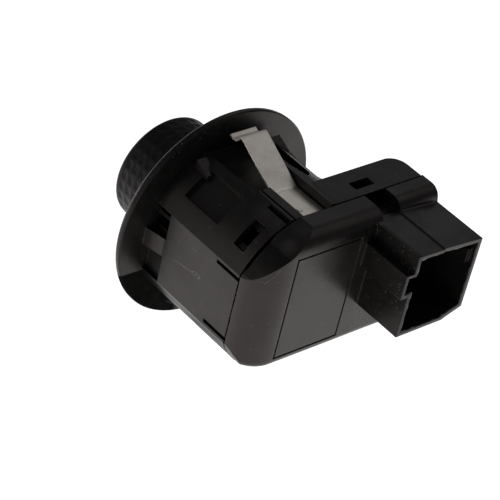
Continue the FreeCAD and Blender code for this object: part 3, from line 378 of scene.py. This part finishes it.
def rolled_metal(name, color, roughness, along=(1.0, 0.05, 1.0), polished_from=None):
    """Rolled sheet metal: streaks along the strip, soft cloudy patches and small pits.

    Beyond the distance polished_from behind the flange the strip is rubbed smoother.
    """
    material, tree, base = shader(name, color, roughness, metallic=1.0)
    place = object_place(tree)
    streaks = noise(tree, stretched(tree, place, along), STREAK_WAVES, 4.0, 0.6)
    cloud = noise(tree, place, PATCH_WAVES, 4.0, 0.6)
    pits = band(tree, noise(tree, place, PIT_WAVES, 2.0), *PIT_PEAK, 0.0, 0.5)
    polished = tuple(min(1.0, c) for c in shade(color, 1.12))
    tint = blended(tree, streaks, shade(color, 0.82), polished)
    tarnish = (color[0] * 0.72, color[1] * 0.66, color[2] * 0.58)
    tint = blended(tree, band(tree, cloud, *PATCH_PEAK, 0.0, 0.35), tint, tarnish)
    tint = blended(tree, pits, tint, shade(color, 0.5))
    tree.links.new(tint, base.inputs["Base Color"])
    rough = total(tree, band(tree, streaks, 0.25, 0.75, roughness - 0.07, roughness + 0.07),
                  product(tree, cloud, 0.1))
    if polished_from is not None:
        y = axes_of(tree, place)[1]
        rough = total(tree, rough, band(tree, y, polished_from - 0.001, polished_from, 0.0,
                                        POLISHED_ROUGHNESS))
    tree.links.new(rough, base.inputs["Roughness"])
    raised(tree, base, streaks, 0.25, 0.00003)
    return material


def soft_rubber(name, color):
    """Silicone: matt, a little see-through, with a powdery skin."""
    material, tree, base = shader(name, color, 0.6, specular=0.3)
    base.inputs["Subsurface Weight"].default_value = 0.15
    base.inputs["Subsurface Radius"].default_value = (0.001, 0.001, 0.001)
    cloud = noise(tree, object_place(tree), 900.0, 5.0)
    tree.links.new(blended(tree, cloud, color, shade(color, 1.3)), base.inputs["Base Color"])
    raised(tree, base, cloud, 0.3, 0.00005)
    return material


def printed_board(name):
    """Circuit board: green mask, raised and paler over a square net of copper tracks."""
    material, tree, base = shader(name, (0.03, 0.11, 0.05), 0.35)
    place = object_place(tree)
    cells = add(tree, "ShaderNodeTexVoronoi", Scale=420.0, distance="MANHATTAN",
                feature="DISTANCE_TO_EDGE")
    tree.links.new(place, cells.inputs["Vector"])
    tracks = band(tree, cells.outputs["Distance"], 0.04, 0.07, 1.0, 0.0)
    mask = blended(tree, noise(tree, place, 1500.0), (0.025, 0.10, 0.045), (0.04, 0.14, 0.06))
    tree.links.new(blended(tree, tracks, mask, (0.07, 0.2, 0.08)), base.inputs["Base Color"])
    raised(tree, base, tracks, 0.5, 0.00004)
    return material


# Zones of the housing's finish. A pair is where a change starts and ends, in metres.
FLANGE_REAR_Y = (0.0004, 0.0012)
OFF_BARREL_REACH = (0.0172, 0.0180)
FLANGE_PLUS_X = (0.002, 0.010)
RIM_REACH = (0.0195, 0.0215)
RIM_TOP_Z = (0.004, 0.016)
BESIDE_CHANNEL_X = (-0.0050, -0.0042)
BARREL_TOP_Z = (0.0060, 0.0090)
BARREL_LENGTH_Y = (0.0035, 0.0240)
UNDER_FLAT_Z = (-0.0086, -0.0080)
ON_ROUND_REACH = (0.0176, 0.0178)
ROUND_PLUS_X = (0.003, 0.006)
HALF_MOON_Z = (0.0084, 0.01395)
SHROUD_SIDE_X = (-0.0103, -0.0088)
SHROUD_KEY_X = (-0.0084, -0.0070)
SHROUD_FOOT_X = (-0.0125, -0.0065)
BEHIND_COVER_Y = (0.0312, 0.0316)
SHROUD_START_Y = (0.0300, 0.0306)
WIDE_SEAM_Z = (0.0095, 0.0139)
CONNECTOR_SEAM_X = (-0.0162, -0.0158)
# the painted shade of the seam's gap is full up to SEAM_DARK from the edge, then fades
SEAM_DARK = 0.00005      # full dark up to here from the edge at the seam
BODY_SEAM_FADE = 0.00013
COVER_SEAM_FADE = 0.00014

# Change of gloss where a face is duller than the rest
LOW_CORNER_GLOSS = -0.36
FLANGE_GLOSS = -0.15
BEYOND_CHANNEL_GLOSS = -0.26
SHROUD_GLOSS = -0.22
HALF_MOON_GLOSS = -0.27

# Painted highlights, paler patches standing in for glossy reflections: centre and radius in
# millimetres, strength
BODY_PAINTED_HIGHLIGHTS = [((7.9, 19.5, 15.9), 3.6, 0.45), ((8.1, 23.0, 15.8), 2.4, 0.45)]
COVER_PAINTED_HIGHLIGHTS = [((9.6, 28.4, 15.0), 2.6, 0.62), ((6.2, 27.4, 16.7), 2.6, 0.42)]


def ragged(tree, place, value, depth):
    """value shifted to and fro by up to half of depth, as along a burred edge."""
    waver = total(tree, noise(tree, place, 2200.0, 2.0), -0.5)
    return total(tree, value, product(tree, waver, depth))


def patch(tree, place, centre, radius, strength):
    """strength at a point given in millimetres, falling to 0 at radius."""
    away = add(tree, "ShaderNodeVectorMath", operation="DISTANCE")
    tree.links.new(place, away.inputs[0])
    away.inputs[1].default_value = tuple(c * MM for c in centre)
    return band(tree, away.outputs["Value"], 0.0, radius * MM, strength, 0.0)


def patches(tree, place, spots):
    """Sum of several patches."""
    return total(tree, *(patch(tree, place, *spot) for spot in spots))


def low_corner(tree, x, z, reach):
    """1 on the round below the barrel's flat, and on the flange where it stands out there."""
    return product(tree, band(tree, z, *UNDER_FLAT_Z, 1.0, 0.0),
                   band(tree, reach, *ON_ROUND_REACH, 0.0, 1.0),
                   band(tree, x, *ROUND_PLUS_X, 0.0, 1.0))


def body_zones(tree, place, gloss):
    """The flange's rear is duller and dusty near its rim, and the edge at the seam is dark.

    The barrel's top beyond the spring channel is duller too, and so is its low corner, with
    the flange there. The dark at the seam is painted shade for the gap between the parts.
    Two painted highlights, paler patches, lie beside the latch window.
    """
    x, y, z, reach = axes_of(tree, place)
    edge = SEAM_Y * MM
    # painted shade along the body's edge at the seam, for the gap's shadow
    seam = band(tree, ragged(tree, place, y, 0.0003), edge - BODY_SEAM_FADE,
                edge - SEAM_DARK, 0.0, 1.0)
    flange = product(tree, band(tree, y, *FLANGE_REAR_Y, 1.0, 0.0),
                     band(tree, reach, *OFF_BARREL_REACH, 0.0, 1.0))
    beyond = product(tree, band(tree, x, *BESIDE_CHANNEL_X, 1.0, 0.0),
                     within(tree, reach, 0.0172, 0.01785, 0.0001),
                     within(tree, y, *BARREL_LENGTH_Y, 0.0004),
                     band(tree, z, *BARREL_TOP_Z, 0.0, BEYOND_CHANNEL_GLOSS))
    duller = band(tree, x, *FLANGE_PLUS_X, 0.0, FLANGE_GLOSS)
    shift = total(tree, product(tree, flange, duller),
                  product(tree, low_corner(tree, x, z, reach), LOW_CORNER_GLOSS), beyond)
    return {"gloss": total(tree, shift, gloss), "joint": seam,
            "dust": product(tree, band(tree, reach, *RIM_REACH, 0.0, 1.0),
                            band(tree, z, *RIM_TOP_Z, 0.0, 1.3)),
            "painted_highlight": patches(tree, place, BODY_PAINTED_HIGHLIGHTS)}


def cover_zones(tree, place, gloss):
    """The shroud's side, its key and the half-moon on the rounded corner are duller.

    The painted shade of the seam's gap is widest along the upper part of the half-moon, and
    wider towards the connector than elsewhere. Dust lies at the foot of the shroud, and the
    round over the half-moon has painted highlights, paler patches.
    """
    x, y, z, reach = axes_of(tree, place)
    # painted shade along the cover's edge at the seam, widest where the rim shades the half-moon
    wider = total(tree, product(tree, within(tree, z, *WIDE_SEAM_Z, 0.0008), 0.00035),
                  band(tree, x, *CONNECTOR_SEAM_X, 0.0002, 0.0))
    burred_y = arithmetic(tree, "SUBTRACT", ragged(tree, place, y, 0.0004), wider)
    edge = COVER_Y * MM
    seam = band(tree, burred_y, edge + SEAM_DARK, edge + COVER_SEAM_FADE, 1.0, 0.0)
    behind = band(tree, y, *BEHIND_COVER_Y, 0.0, 1.0)
    side = total(tree, product(tree, within(tree, x, *SHROUD_SIDE_X, 0.0001), behind),
                 product(tree, within(tree, x, *SHROUD_KEY_X, 0.0001), behind))
    moon = product(tree, within(tree, reach, 0.01775, 0.01785, 0.00003),
                   within(tree, z, *HALF_MOON_Z, 0.0001))
    shift = total(tree, product(tree, side, SHROUD_GLOSS), product(tree, moon, HALF_MOON_GLOSS),
                  product(tree, low_corner(tree, x, z, reach), LOW_CORNER_GLOSS))
    return {"gloss": total(tree, shift, gloss), "joint": seam,
            "dust": product(tree, within(tree, x, *SHROUD_FOOT_X, 0.0010),
                            band(tree, y, *SHROUD_START_Y, 0.0, 1.3)),
            "painted_highlight": patches(tree, place, COVER_PAINTED_HIGHLIGHTS)}


BLACK = (0.0075, 0.0072, 0.0068)

black_body = moulded("black_body_plastic", BLACK, 0.34, zones=body_zones)
black_cover = moulded("black_cover_plastic", BLACK, 0.31, zones=cover_zones)
grip_plastic = moulded("knob_grip_plastic", (0.0095, 0.0095, 0.0095), 0.44, grain=0.6,
                       edge=0.08, gloss=0.17)
flash_plastic = moulded("flash_plastic", (0.07, 0.066, 0.063), 0.40)
burr_plastic = moulded("burr_plastic", (0.10, 0.094, 0.088), 0.50)
cap_plastic = moulded("knob_cap_plastic", (0.014, 0.014, 0.014), 0.4, grain=0.4)
pale_acetal = moulded("pale_acetal", (0.55, 0.54, 0.50), 0.38, grain=0.2, dust=0.0)
pin_acetal = moulded("pin_acetal", (0.62, 0.60, 0.54), 0.3, grain=0.15, dust=0.0)
silicone = soft_rubber("dome_silicone", (0.28, 0.28, 0.27))
board_mask = printed_board("board_mask")
leaf_steel = rolled_metal("leaf_spring_steel", (0.98, 0.87, 0.81), 0.42, polished_from=0.0158)
shaft_steel = rolled_metal("shaft_steel", (0.56, 0.56, 0.56), 0.28, along=(1.0, 1.0, 0.2))
wiper_brass = rolled_metal("wiper_brass", (0.72, 0.53, 0.26), 0.3)
tinned_brass = rolled_metal("tinned_brass", (0.70, 0.66, 0.56), 0.3)

FINISH = {
    "switch_body": black_body, "rear_cover": black_cover, "knob_hub": pale_acetal,
    "knob_cap": cap_plastic, "knob_grip": grip_plastic, "gimbal_ring": pale_acetal,
    "tilt_cup": pale_acetal, "guide_cup": pale_acetal, "selector_rotor": pale_acetal,
    "selector_wiper": wiper_brass, "detent_spring": leaf_steel, "stem": shaft_steel,
    "stem_clip": shaft_steel, "drive_pin": shaft_steel, "dome_mat": silicone,
    "contact_board": board_mask, "panel_spring_upper": leaf_steel,
    "panel_spring_lower": leaf_steel,
}

for name, node in nodes.items():
    finish = FINISH.get(name)
    if finish is None:
        finish = pin_acetal if name.startswith("plunger") else tinned_brass
    node.data.materials.clear()
    node.data.materials.append(finish)


# Knob, in millimetres

PITS_ROUND = 30
PIT_ROWS = 6
PIT_DEPTH = 0.13
FIRST_PIT_Y = KNOB_FRONT_Y + 1.35
LAST_PIT_Y = KNOB_BASE_Y - 0.7
PIT_END, PIT_SLOPE = 0.84, 0.60   # a pit ends at the first and deepens over the second
SLEEVE_COLUMNS = 560


def soft_window(away):
    """Smooth step from 1 in a cell's middle, where away is 0, to 0 near its border."""
    s = np.clip((PIT_END - away) / PIT_SLOPE, 0, 1)
    return s * s * (3 - 2 * s)


def grip_sleeve():
    """Tapered sleeve of the knob with rings of moulded pits.

    The outer skin follows the profile (radius, y). On it a pit is the product of two soft
    windows, one round the knob and one along it, and neighbouring pits share a regular grid.
    """
    skin = path_points([
        (GRIP_INNER_RADIUS, KNOB_FRONT_Y + 1.9), (GRIP_INNER_RADIUS, KNOB_FRONT_Y, 0.3),
        (KNOB_FRONT_RADIUS, KNOB_FRONT_Y, 1.15), (KNOB_BASE_RADIUS, KNOB_BASE_Y, 0.35),
        (GRIP_INNER_RADIUS, KNOB_BASE_Y),
    ], 0.1)
    chain = dense(skin, 0.14)
    points = turned(chain, SLEEVE_COLUMNS)
    angle = np.linspace(0, 2 * np.pi, SLEEVE_COLUMNS, endpoint=False)[None, :]
    outer = (chain[:, 0] > KNOB_FRONT_RADIUS - 0.25)[:, None]
    along = (chain[:, 1][:, None] - FIRST_PIT_Y) / ((LAST_PIT_Y - FIRST_PIT_Y) / PIT_ROWS)
    inside = (along > 0) & (along < PIT_ROWS)
    round_way = angle * PITS_ROUND / (2 * np.pi)
    u = np.abs((round_way % 1.0) - 0.5) * 2
    v = np.abs((along % 1.0) - 0.5) * 2
    depth = PIT_DEPTH * soft_window(u) * soft_window(v) * inside * outer
    radius = np.linalg.norm(points[..., [0, 2]], axis=-1, keepdims=True)
    points[..., [0, 2]] *= 1 - depth[..., None] / radius
    return surface("knob_sleeve", points, around=True, closed=True)


sleeve = piece("knob_sleeve", outward(grip_sleeve()), "knob", grip_plastic)
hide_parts("knob_grip")


def bell(away, width):
    """Bell curve: 1 at 0, falling with the square of away / width."""
    return np.exp(-(away / width) ** 2)


# Leaf springs, in millimetres

# Corners (y, z, bend radius) from the seat over the crest to the folded tip
LEAF_CORNERS = [(25.35, 15.4), (15.55, 15.4, 1.3), (4.95, 21.22, 0.55), (3.75, 19.85, 0.3),
                (3.0, 19.72, 0.12), (2.15, 20.12)]
LEAF_HALF_WIDTH = 3.0
LEAF_HALF_THICKNESS = 0.25
LEAF_EDGE_RADIUS = 0.09

# Crescent (x, y, radius): a disc less a second one, and the faint fold across the arm
CRESCENT_DISC = (1.5, 21.4, 0.62)
CRESCENT_CUT = (1.25, 21.15, 0.55)
CRESCENT_SLOPE = 0.12
CRESCENT_DEPTH = 0.22
FOLD_Y = 11.8
FOLD_SLANT = 0.05
FOLD_WIDTH = 0.09
FOLD_DEPTH = 0.03


def leaf_section():
    """Outline (across, offset) of the strip: two long faces whose ends are rolled round."""
    flat_end = LEAF_HALF_WIDTH - LEAF_EDGE_RADIUS
    flat_side = LEAF_HALF_THICKNESS - LEAF_EDGE_RADIUS
    corner = [(flat_end + LEAF_EDGE_RADIUS * np.cos(a), flat_side + LEAF_EDGE_RADIUS * np.sin(a))
              for a in np.linspace(0, np.pi / 2, 4)]
    face = [(x, LEAF_HALF_THICKNESS) for x in np.linspace(flat_end, -flat_end, 61)[1:-1]]
    upper = corner + face + [(-x, z) for x, z in corner[::-1]]
    return np.array(upper + [(-x, -z) for x, z in upper]).T


def leaf(name, turn):
    """Spring strip: a path in the Y-Z plane carried across X, with a small stamped crescent.

    The section's offset is laid along the path's normal. The crescent is one disc less a
    second one beside it, pressed into the upper face, and a bell across the arm gives it a
    faint fold. turn of -1 puts the spring under the barrel, turned about the knob axis.
    """
    middle = dense(path_points(LEAF_CORNERS, 0.06), 0.14)
    tangent = directions(middle)
    across, offset = leaf_section()
    y = middle[:, 0][:, None] + tangent[:, 1][:, None] * offset
    z = middle[:, 1][:, None] - tangent[:, 0][:, None] * offset
    x = np.broadcast_to(across, y.shape)
    top = np.broadcast_to(offset > 0.1, y.shape)
    disc_x, disc_y, disc_radius = CRESCENT_DISC
    cut_x, cut_y, cut_radius = CRESCENT_CUT
    disc = np.clip((disc_radius - np.hypot(x - disc_x, y - disc_y)) / CRESCENT_SLOPE, 0, 1)
    beside = np.clip((np.hypot(x - cut_x, y - cut_y) - cut_radius) / CRESCENT_SLOPE, 0, 1)
    z = z - CRESCENT_DEPTH * (disc * beside) * top
    z = z - FOLD_DEPTH * (bell(y - FOLD_Y + FOLD_SLANT * x, FOLD_WIDTH) * top)
    points = np.stack([turn * x, y, turn * z], axis=-1)
    return outward(surface(name, points, around=True, capped=True))


for leaf_name, turn, solid in (("upper_leaf", 1, "panel_spring_upper"),
                               ("lower_leaf", -1, "panel_spring_lower")):
    strip = piece(leaf_name, leaf(leaf_name, turn), "housing", leaf_steel)
    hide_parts(solid)


# Housing, in millimetres

def gate_scar():
    """Mark where the mould was filled: a hair line that ends in a low oval rim.

    It lies on the barrel's flat. Height over the flat is a bell of the distance to the line,
    plus a bell of the distance to the oval, torn by two waves round it, plus a small bell in
    its middle. The sheet's border lies just under the flat's skin.
    """
    low_y, high_y, low_z, high_z, border_width, sunk = 7.4, 16.0, -1.2, 1.8, 0.2, 0.02
    y, z = np.meshgrid(np.linspace(low_y, high_y, 172), np.linspace(low_z, high_z, 60),
                       indexing="ij")
    start_y, start_z, run_y, run_z = 7.9, -0.35, 5.0, 0.75
    oval_y, oval_z, oval_length, oval_width = 14.0, 0.55, 1.3, 0.55
    run_squared = run_y ** 2 + run_z ** 2
    run = np.sqrt(run_squared)
    share = ((y - start_y) * run_y + (z - start_z) * run_z) / run_squared
    share = np.clip(share, 0, 1)
    line = np.hypot(y - start_y - share * run_y, z - start_z - share * run_z)
    along = ((y - oval_y) * run_y + (z - oval_z) * run_z) / run
    across = (-(y - oval_y) * run_z + (z - oval_z) * run_y) / run
    oval = np.hypot(along / oval_length, across / oval_width)
    round_way = np.arctan2(across, along)
    torn = 0.65 + 0.35 * np.sin(3.0 * round_way + 1.1) * np.cos(2.0 * round_way - 0.6)
    height = 0.07 * bell(line, 0.10) + 0.10 * torn * bell(oval - 0.85, 0.17)
    height = height + 0.05 * bell(oval, 0.28)
    border = np.minimum.reduce([y - low_y, high_y - y, z - low_z, high_z - z])
    height = height * np.clip(border / border_width, 0, 1)
    return surface("gate_scar", np.stack([FLAT_X - sunk + height, y, z], axis=-1))


def corner_skin():
    """Thin skin on the cover's round corner, beside the seam.

    The radius is the barrel's, raised by a soft window round and along the corner, so that
    the skin's border dips under the cover.
    """
    front_y, rear_y = 24.66, 27.6
    sunk, raise_by = 0.012, 0.03
    angle, y = np.meshgrid(np.radians(np.linspace(57.5, 65.5, 40)),
                           np.linspace(front_y, rear_y, 40), indexing="ij")
    round_way = np.clip(np.minimum(angle - angle.min(), angle.max() - angle) / 0.03, 0, 1)
    rear = np.clip((rear_y - y) / 0.6, 0, 1)
    radius = BARREL_RADIUS - sunk + raise_by * round_way * rear
    points = np.stack([radius * np.cos(angle), y, radius * np.sin(angle)], axis=-1)
    return surface("corner_skin", points)


def shoulder_fillet():
    """Hollow round where the cover's shoulder runs out onto the shroud's sloping top.

    The shoulder's line and the shroud's top meet in a corner; an arc touches both, and the
    section is closed a little inside the corner. It is carried along X over the sloping top.
    """
    x = np.linspace(-25.78, -16.2, 49)
    edge_x, edge_z, slope = -16.0, 15.65, 0.80 / 9.85
    top = edge_z + (x - edge_x) * slope
    up = np.array([-0.339, 0.941])
    out = np.array([0.941, 0.339])
    radius, run, overlap = 1.3, 0.913, 0.02
    corner = np.stack([29.40 - (top - 14.75) * 0.36, top], axis=-1)
    centre = corner + up * run + out * radius
    angle = np.radians(np.linspace(199.8, 270.0, 13))
    arc = centre[:, None, :] + radius * np.stack([np.cos(angle), np.sin(angle)], axis=-1)
    arc[:, 0] -= out * overlap
    arc[:, -1, 1] -= overlap
    section = np.concatenate([arc, (corner - [0.15, 0.15])[:, None, :]], axis=1)
    points = np.stack([np.broadcast_to(x[:, None], section.shape[:2]), section[..., 0],
                       section[..., 1]], axis=-1)
    return outward(surface("shoulder_fillet", points, around=True, capped=True))


def corner_ridge():
    """Fine ridge on the cover's round corner, beside the half-moon.

    Points (angle, z) on the round's upright cylinder are joined, and a small ring whose plane
    holds the outward direction is carried along them, with its middle on the skin. The ring
    shrinks over the first and last few points.
    """
    corners = np.array([(65.0, 12.45), (59.0, 10.96), (44.0, 8.81), (34.5, 9.15)])
    mm_a_degree, half_width, taper = 0.11, 0.075, 3
    chain = dense(corners * [mm_a_degree, 1.0], 0.08) / [mm_a_degree, 1.0]
    angle = np.radians(chain[:, 0])
    out = np.stack([np.cos(angle), np.sin(angle), np.zeros(len(angle))], axis=-1)
    middle = np.array([ROUND_X, ROUND_Y, 0.0]) + ROUND_RADIUS * out
    middle[:, 2] = chain[:, 1]
    side = np.cross(directions(middle), out)
    ring = np.linspace(0, 2 * np.pi, 10, endpoint=False)[None, :, None]
    from_start = np.arange(len(chain))
    thick = half_width * np.minimum(1.0, np.minimum(from_start, from_start[::-1]) / taper)
    points = middle[:, None, :] + thick[:, None, None] * (
        np.cos(ring) * out[:, None, :] + np.sin(ring) * side[:, None, :])
    return outward(surface("corner_ridge", points, around=True))


# The shroud's mouth inside, as (x, z) with its two key steps
MOUTH_CORNERS = np.array([
    (-10.2, -1.9), (-10.2, 7.42), (-8.3, 7.42), (-8.3, 11.28), (-10.2, 11.28), (-10.2, 14.9),
    (-16.0, 14.7), (-16.0, 14.9), (-25.15, 14.15), (-25.15, -0.2), (-21.7, -1.4), (-20.5, -1.9),
    (-10.2, -1.9)])
FLASH_RUN = 7            # steps over which the flash keeps one level
FLASH_LEAST = 0.05
FLASH_MORE = 0.24
FLASH_BEHIND = 0.03      # its face lies this far inside the mouth
# Section of the flash: share of its reach (or how far it is sunk), depth behind the mouth
FLASH_SECTION = [(-0.05, 0.0), (1.0, 0.0), (0.85, 0.14), (-0.05, 0.14)]


def mouth_flash():
    """Thin ragged flash round the inside of the shroud's mouth.

    The mouth's inner outline is walked in short steps; the flash stands off it by a chain of
    short random levels, smoothed over five steps, and its small section is carried along.
    """
    walk = dense(MOUTH_CORNERS, 0.16)[:-1]
    ahead = np.roll(walk, -1, axis=0) - np.roll(walk, 1, axis=0)
    ahead /= np.linalg.norm(ahead, axis=1, keepdims=True)
    inward = np.stack([-ahead[:, 1], ahead[:, 0]], axis=-1)
    chance = np.random.default_rng(7)
    runs = len(walk) // FLASH_RUN + 2
    levels = np.repeat(chance.uniform(0.0, 1.0, runs) ** 2, FLASH_RUN)[:len(walk)]
    levels = sum(np.roll(levels, k) for k in range(-2, 3)) / 5
    stand = FLASH_LEAST + FLASH_MORE * levels
    rows = []
    for reach, depth in FLASH_SECTION:
        off = stand * reach if reach > 0 else np.full(len(walk), reach)
        spot = walk + inward * off[:, None]
        y = np.full(len(walk), MOUTH_Y - FLASH_BEHIND - depth)
        rows.append(np.stack([spot[:, 0], y, spot[:, 1]], axis=-1))
    return outward(surface("mouth_flash", np.stack(rows), around=True, closed=True))


piece("gate_scar", gate_scar(), "housing", burr_plastic)
piece("corner_skin", corner_skin(), "housing", black_cover)
piece("shoulder_fillet", shoulder_fillet(), "housing", black_cover)
piece("corner_ridge", corner_ridge(), "housing", burr_plastic)
piece("mouth_flash", mouth_flash(), "housing", flash_plastic, smooth=False)


# Studio, in metres

FLOOR_HALF = 1.6
FLOOR_GAP = 0.0004       # under the flange's rim
GLOW_REACH = (0.16, 0.45)
SKY_COLOR = (0.94, 0.98, 1.0, 1.0)
SKY_STRENGTH = 0.11

# The photograph's frame, and where its lens stood
IMAGE_PIXELS = 500.0
FOCAL_PIXELS = 2186.1
SENSOR_WIDTH = 36.0
CAMERA_SPOT = (0.24541, 0.23298, 0.23399)
CAMERA_RIGHT = (-0.75428709, 0.62695367, 0.19488477)
CAMERA_DOWN = (0.25657737, 0.55471774, -0.79148991)
CAMERA_AHEAD = (-0.60433355, -0.5470076, -0.57927856)


def floor():
    """Pale paper floor that glows round the switch and fades outwards."""
    steps = np.linspace(-FLOOR_HALF, FLOOR_HALF, 3) / MM
    level = (-FLANGE_RADIUS * MM - FLOOR_GAP) / MM
    grid = np.stack([*np.meshgrid(steps, steps, indexing="ij"), np.full((3, 3), level)], axis=-1)
    mesh = surface("studio_floor", grid)
    item = bpy.data.objects.new("studio_floor", mesh)
    bpy.context.scene.collection.objects.link(item)
    material, tree, base = shader("studio_floor_paper", (0.93, 0.93, 0.93), 0.9, specular=0.1)
    base.inputs["Emission Color"].default_value = (1.0, 1.0, 1.0, 1.0)
    place = object_place(tree)
    reach = add(tree, "ShaderNodeVectorMath", operation="LENGTH")
    tree.links.new(place, reach.inputs[0])
    glow = band(tree, reach.outputs["Value"], *GLOW_REACH, 1.02, 0.30)
    tree.links.new(glow, base.inputs["Emission Strength"])
    tint = blended(tree, noise(tree, place, 60.0), (0.92, 0.92, 0.92), (0.94, 0.94, 0.94))
    tree.links.new(tint, base.inputs["Base Color"])
    mesh.materials.append(material)


def sky():
    """Faint, slightly cool light from all round."""
    world = bpy.data.worlds.new("studio_world")
    bpy.context.scene.world = world
    world.use_nodes = True
    background = world.node_tree.nodes["Background"]
    background.inputs["Color"].default_value = SKY_COLOR
    background.inputs["Strength"].default_value = SKY_STRENGTH


def lamp(name, spot, target, size, power):
    """Square soft lamp at spot, turned to target."""
    data = bpy.data.lights.new(name, "AREA")
    data.shape = "SQUARE"
    data.size = size
    data.energy = power
    item = bpy.data.objects.new(name, data)
    bpy.context.scene.collection.objects.link(item)
    item.location = spot
    item.rotation_euler = (Vector(target) - Vector(spot)).to_track_quat("-Z", "Y").to_euler()


def camera():
    """Camera of the photograph: long lens from the rear, above and towards +X, rolled a little."""
    data = bpy.data.cameras.new("photo_camera")
    data.sensor_width = SENSOR_WIDTH
    data.lens = FOCAL_PIXELS / IMAGE_PIXELS * SENSOR_WIDTH
    data.clip_start = 0.01
    data.clip_end = 20.0
    item = bpy.data.objects.new("photo_camera", data)
    bpy.context.scene.collection.objects.link(item)
    axes = Matrix((Vector(CAMERA_RIGHT), -Vector(CAMERA_DOWN), -Vector(CAMERA_AHEAD)))
    item.matrix_world = Matrix.Translation(Vector(CAMERA_SPOT)) @ axes.transposed().to_4x4()
    bpy.context.scene.camera = item


floor()
sky()
lamp("key_lamp", (-0.55, -0.50, 0.50), (0.0, 0.01, 0.0), 0.5, 0.17)
lamp("top_lamp", (-0.45, 0.15, 0.62), (0.0, 0.01, 0.0), 0.5, 0.24)
lamp("left_lamp", (0.62, -0.20, 0.25), (0.0, 0.0, 0.0), 0.3, 0.35)
camera()
bpy.context.scene.view_settings.view_transform = "Standard"
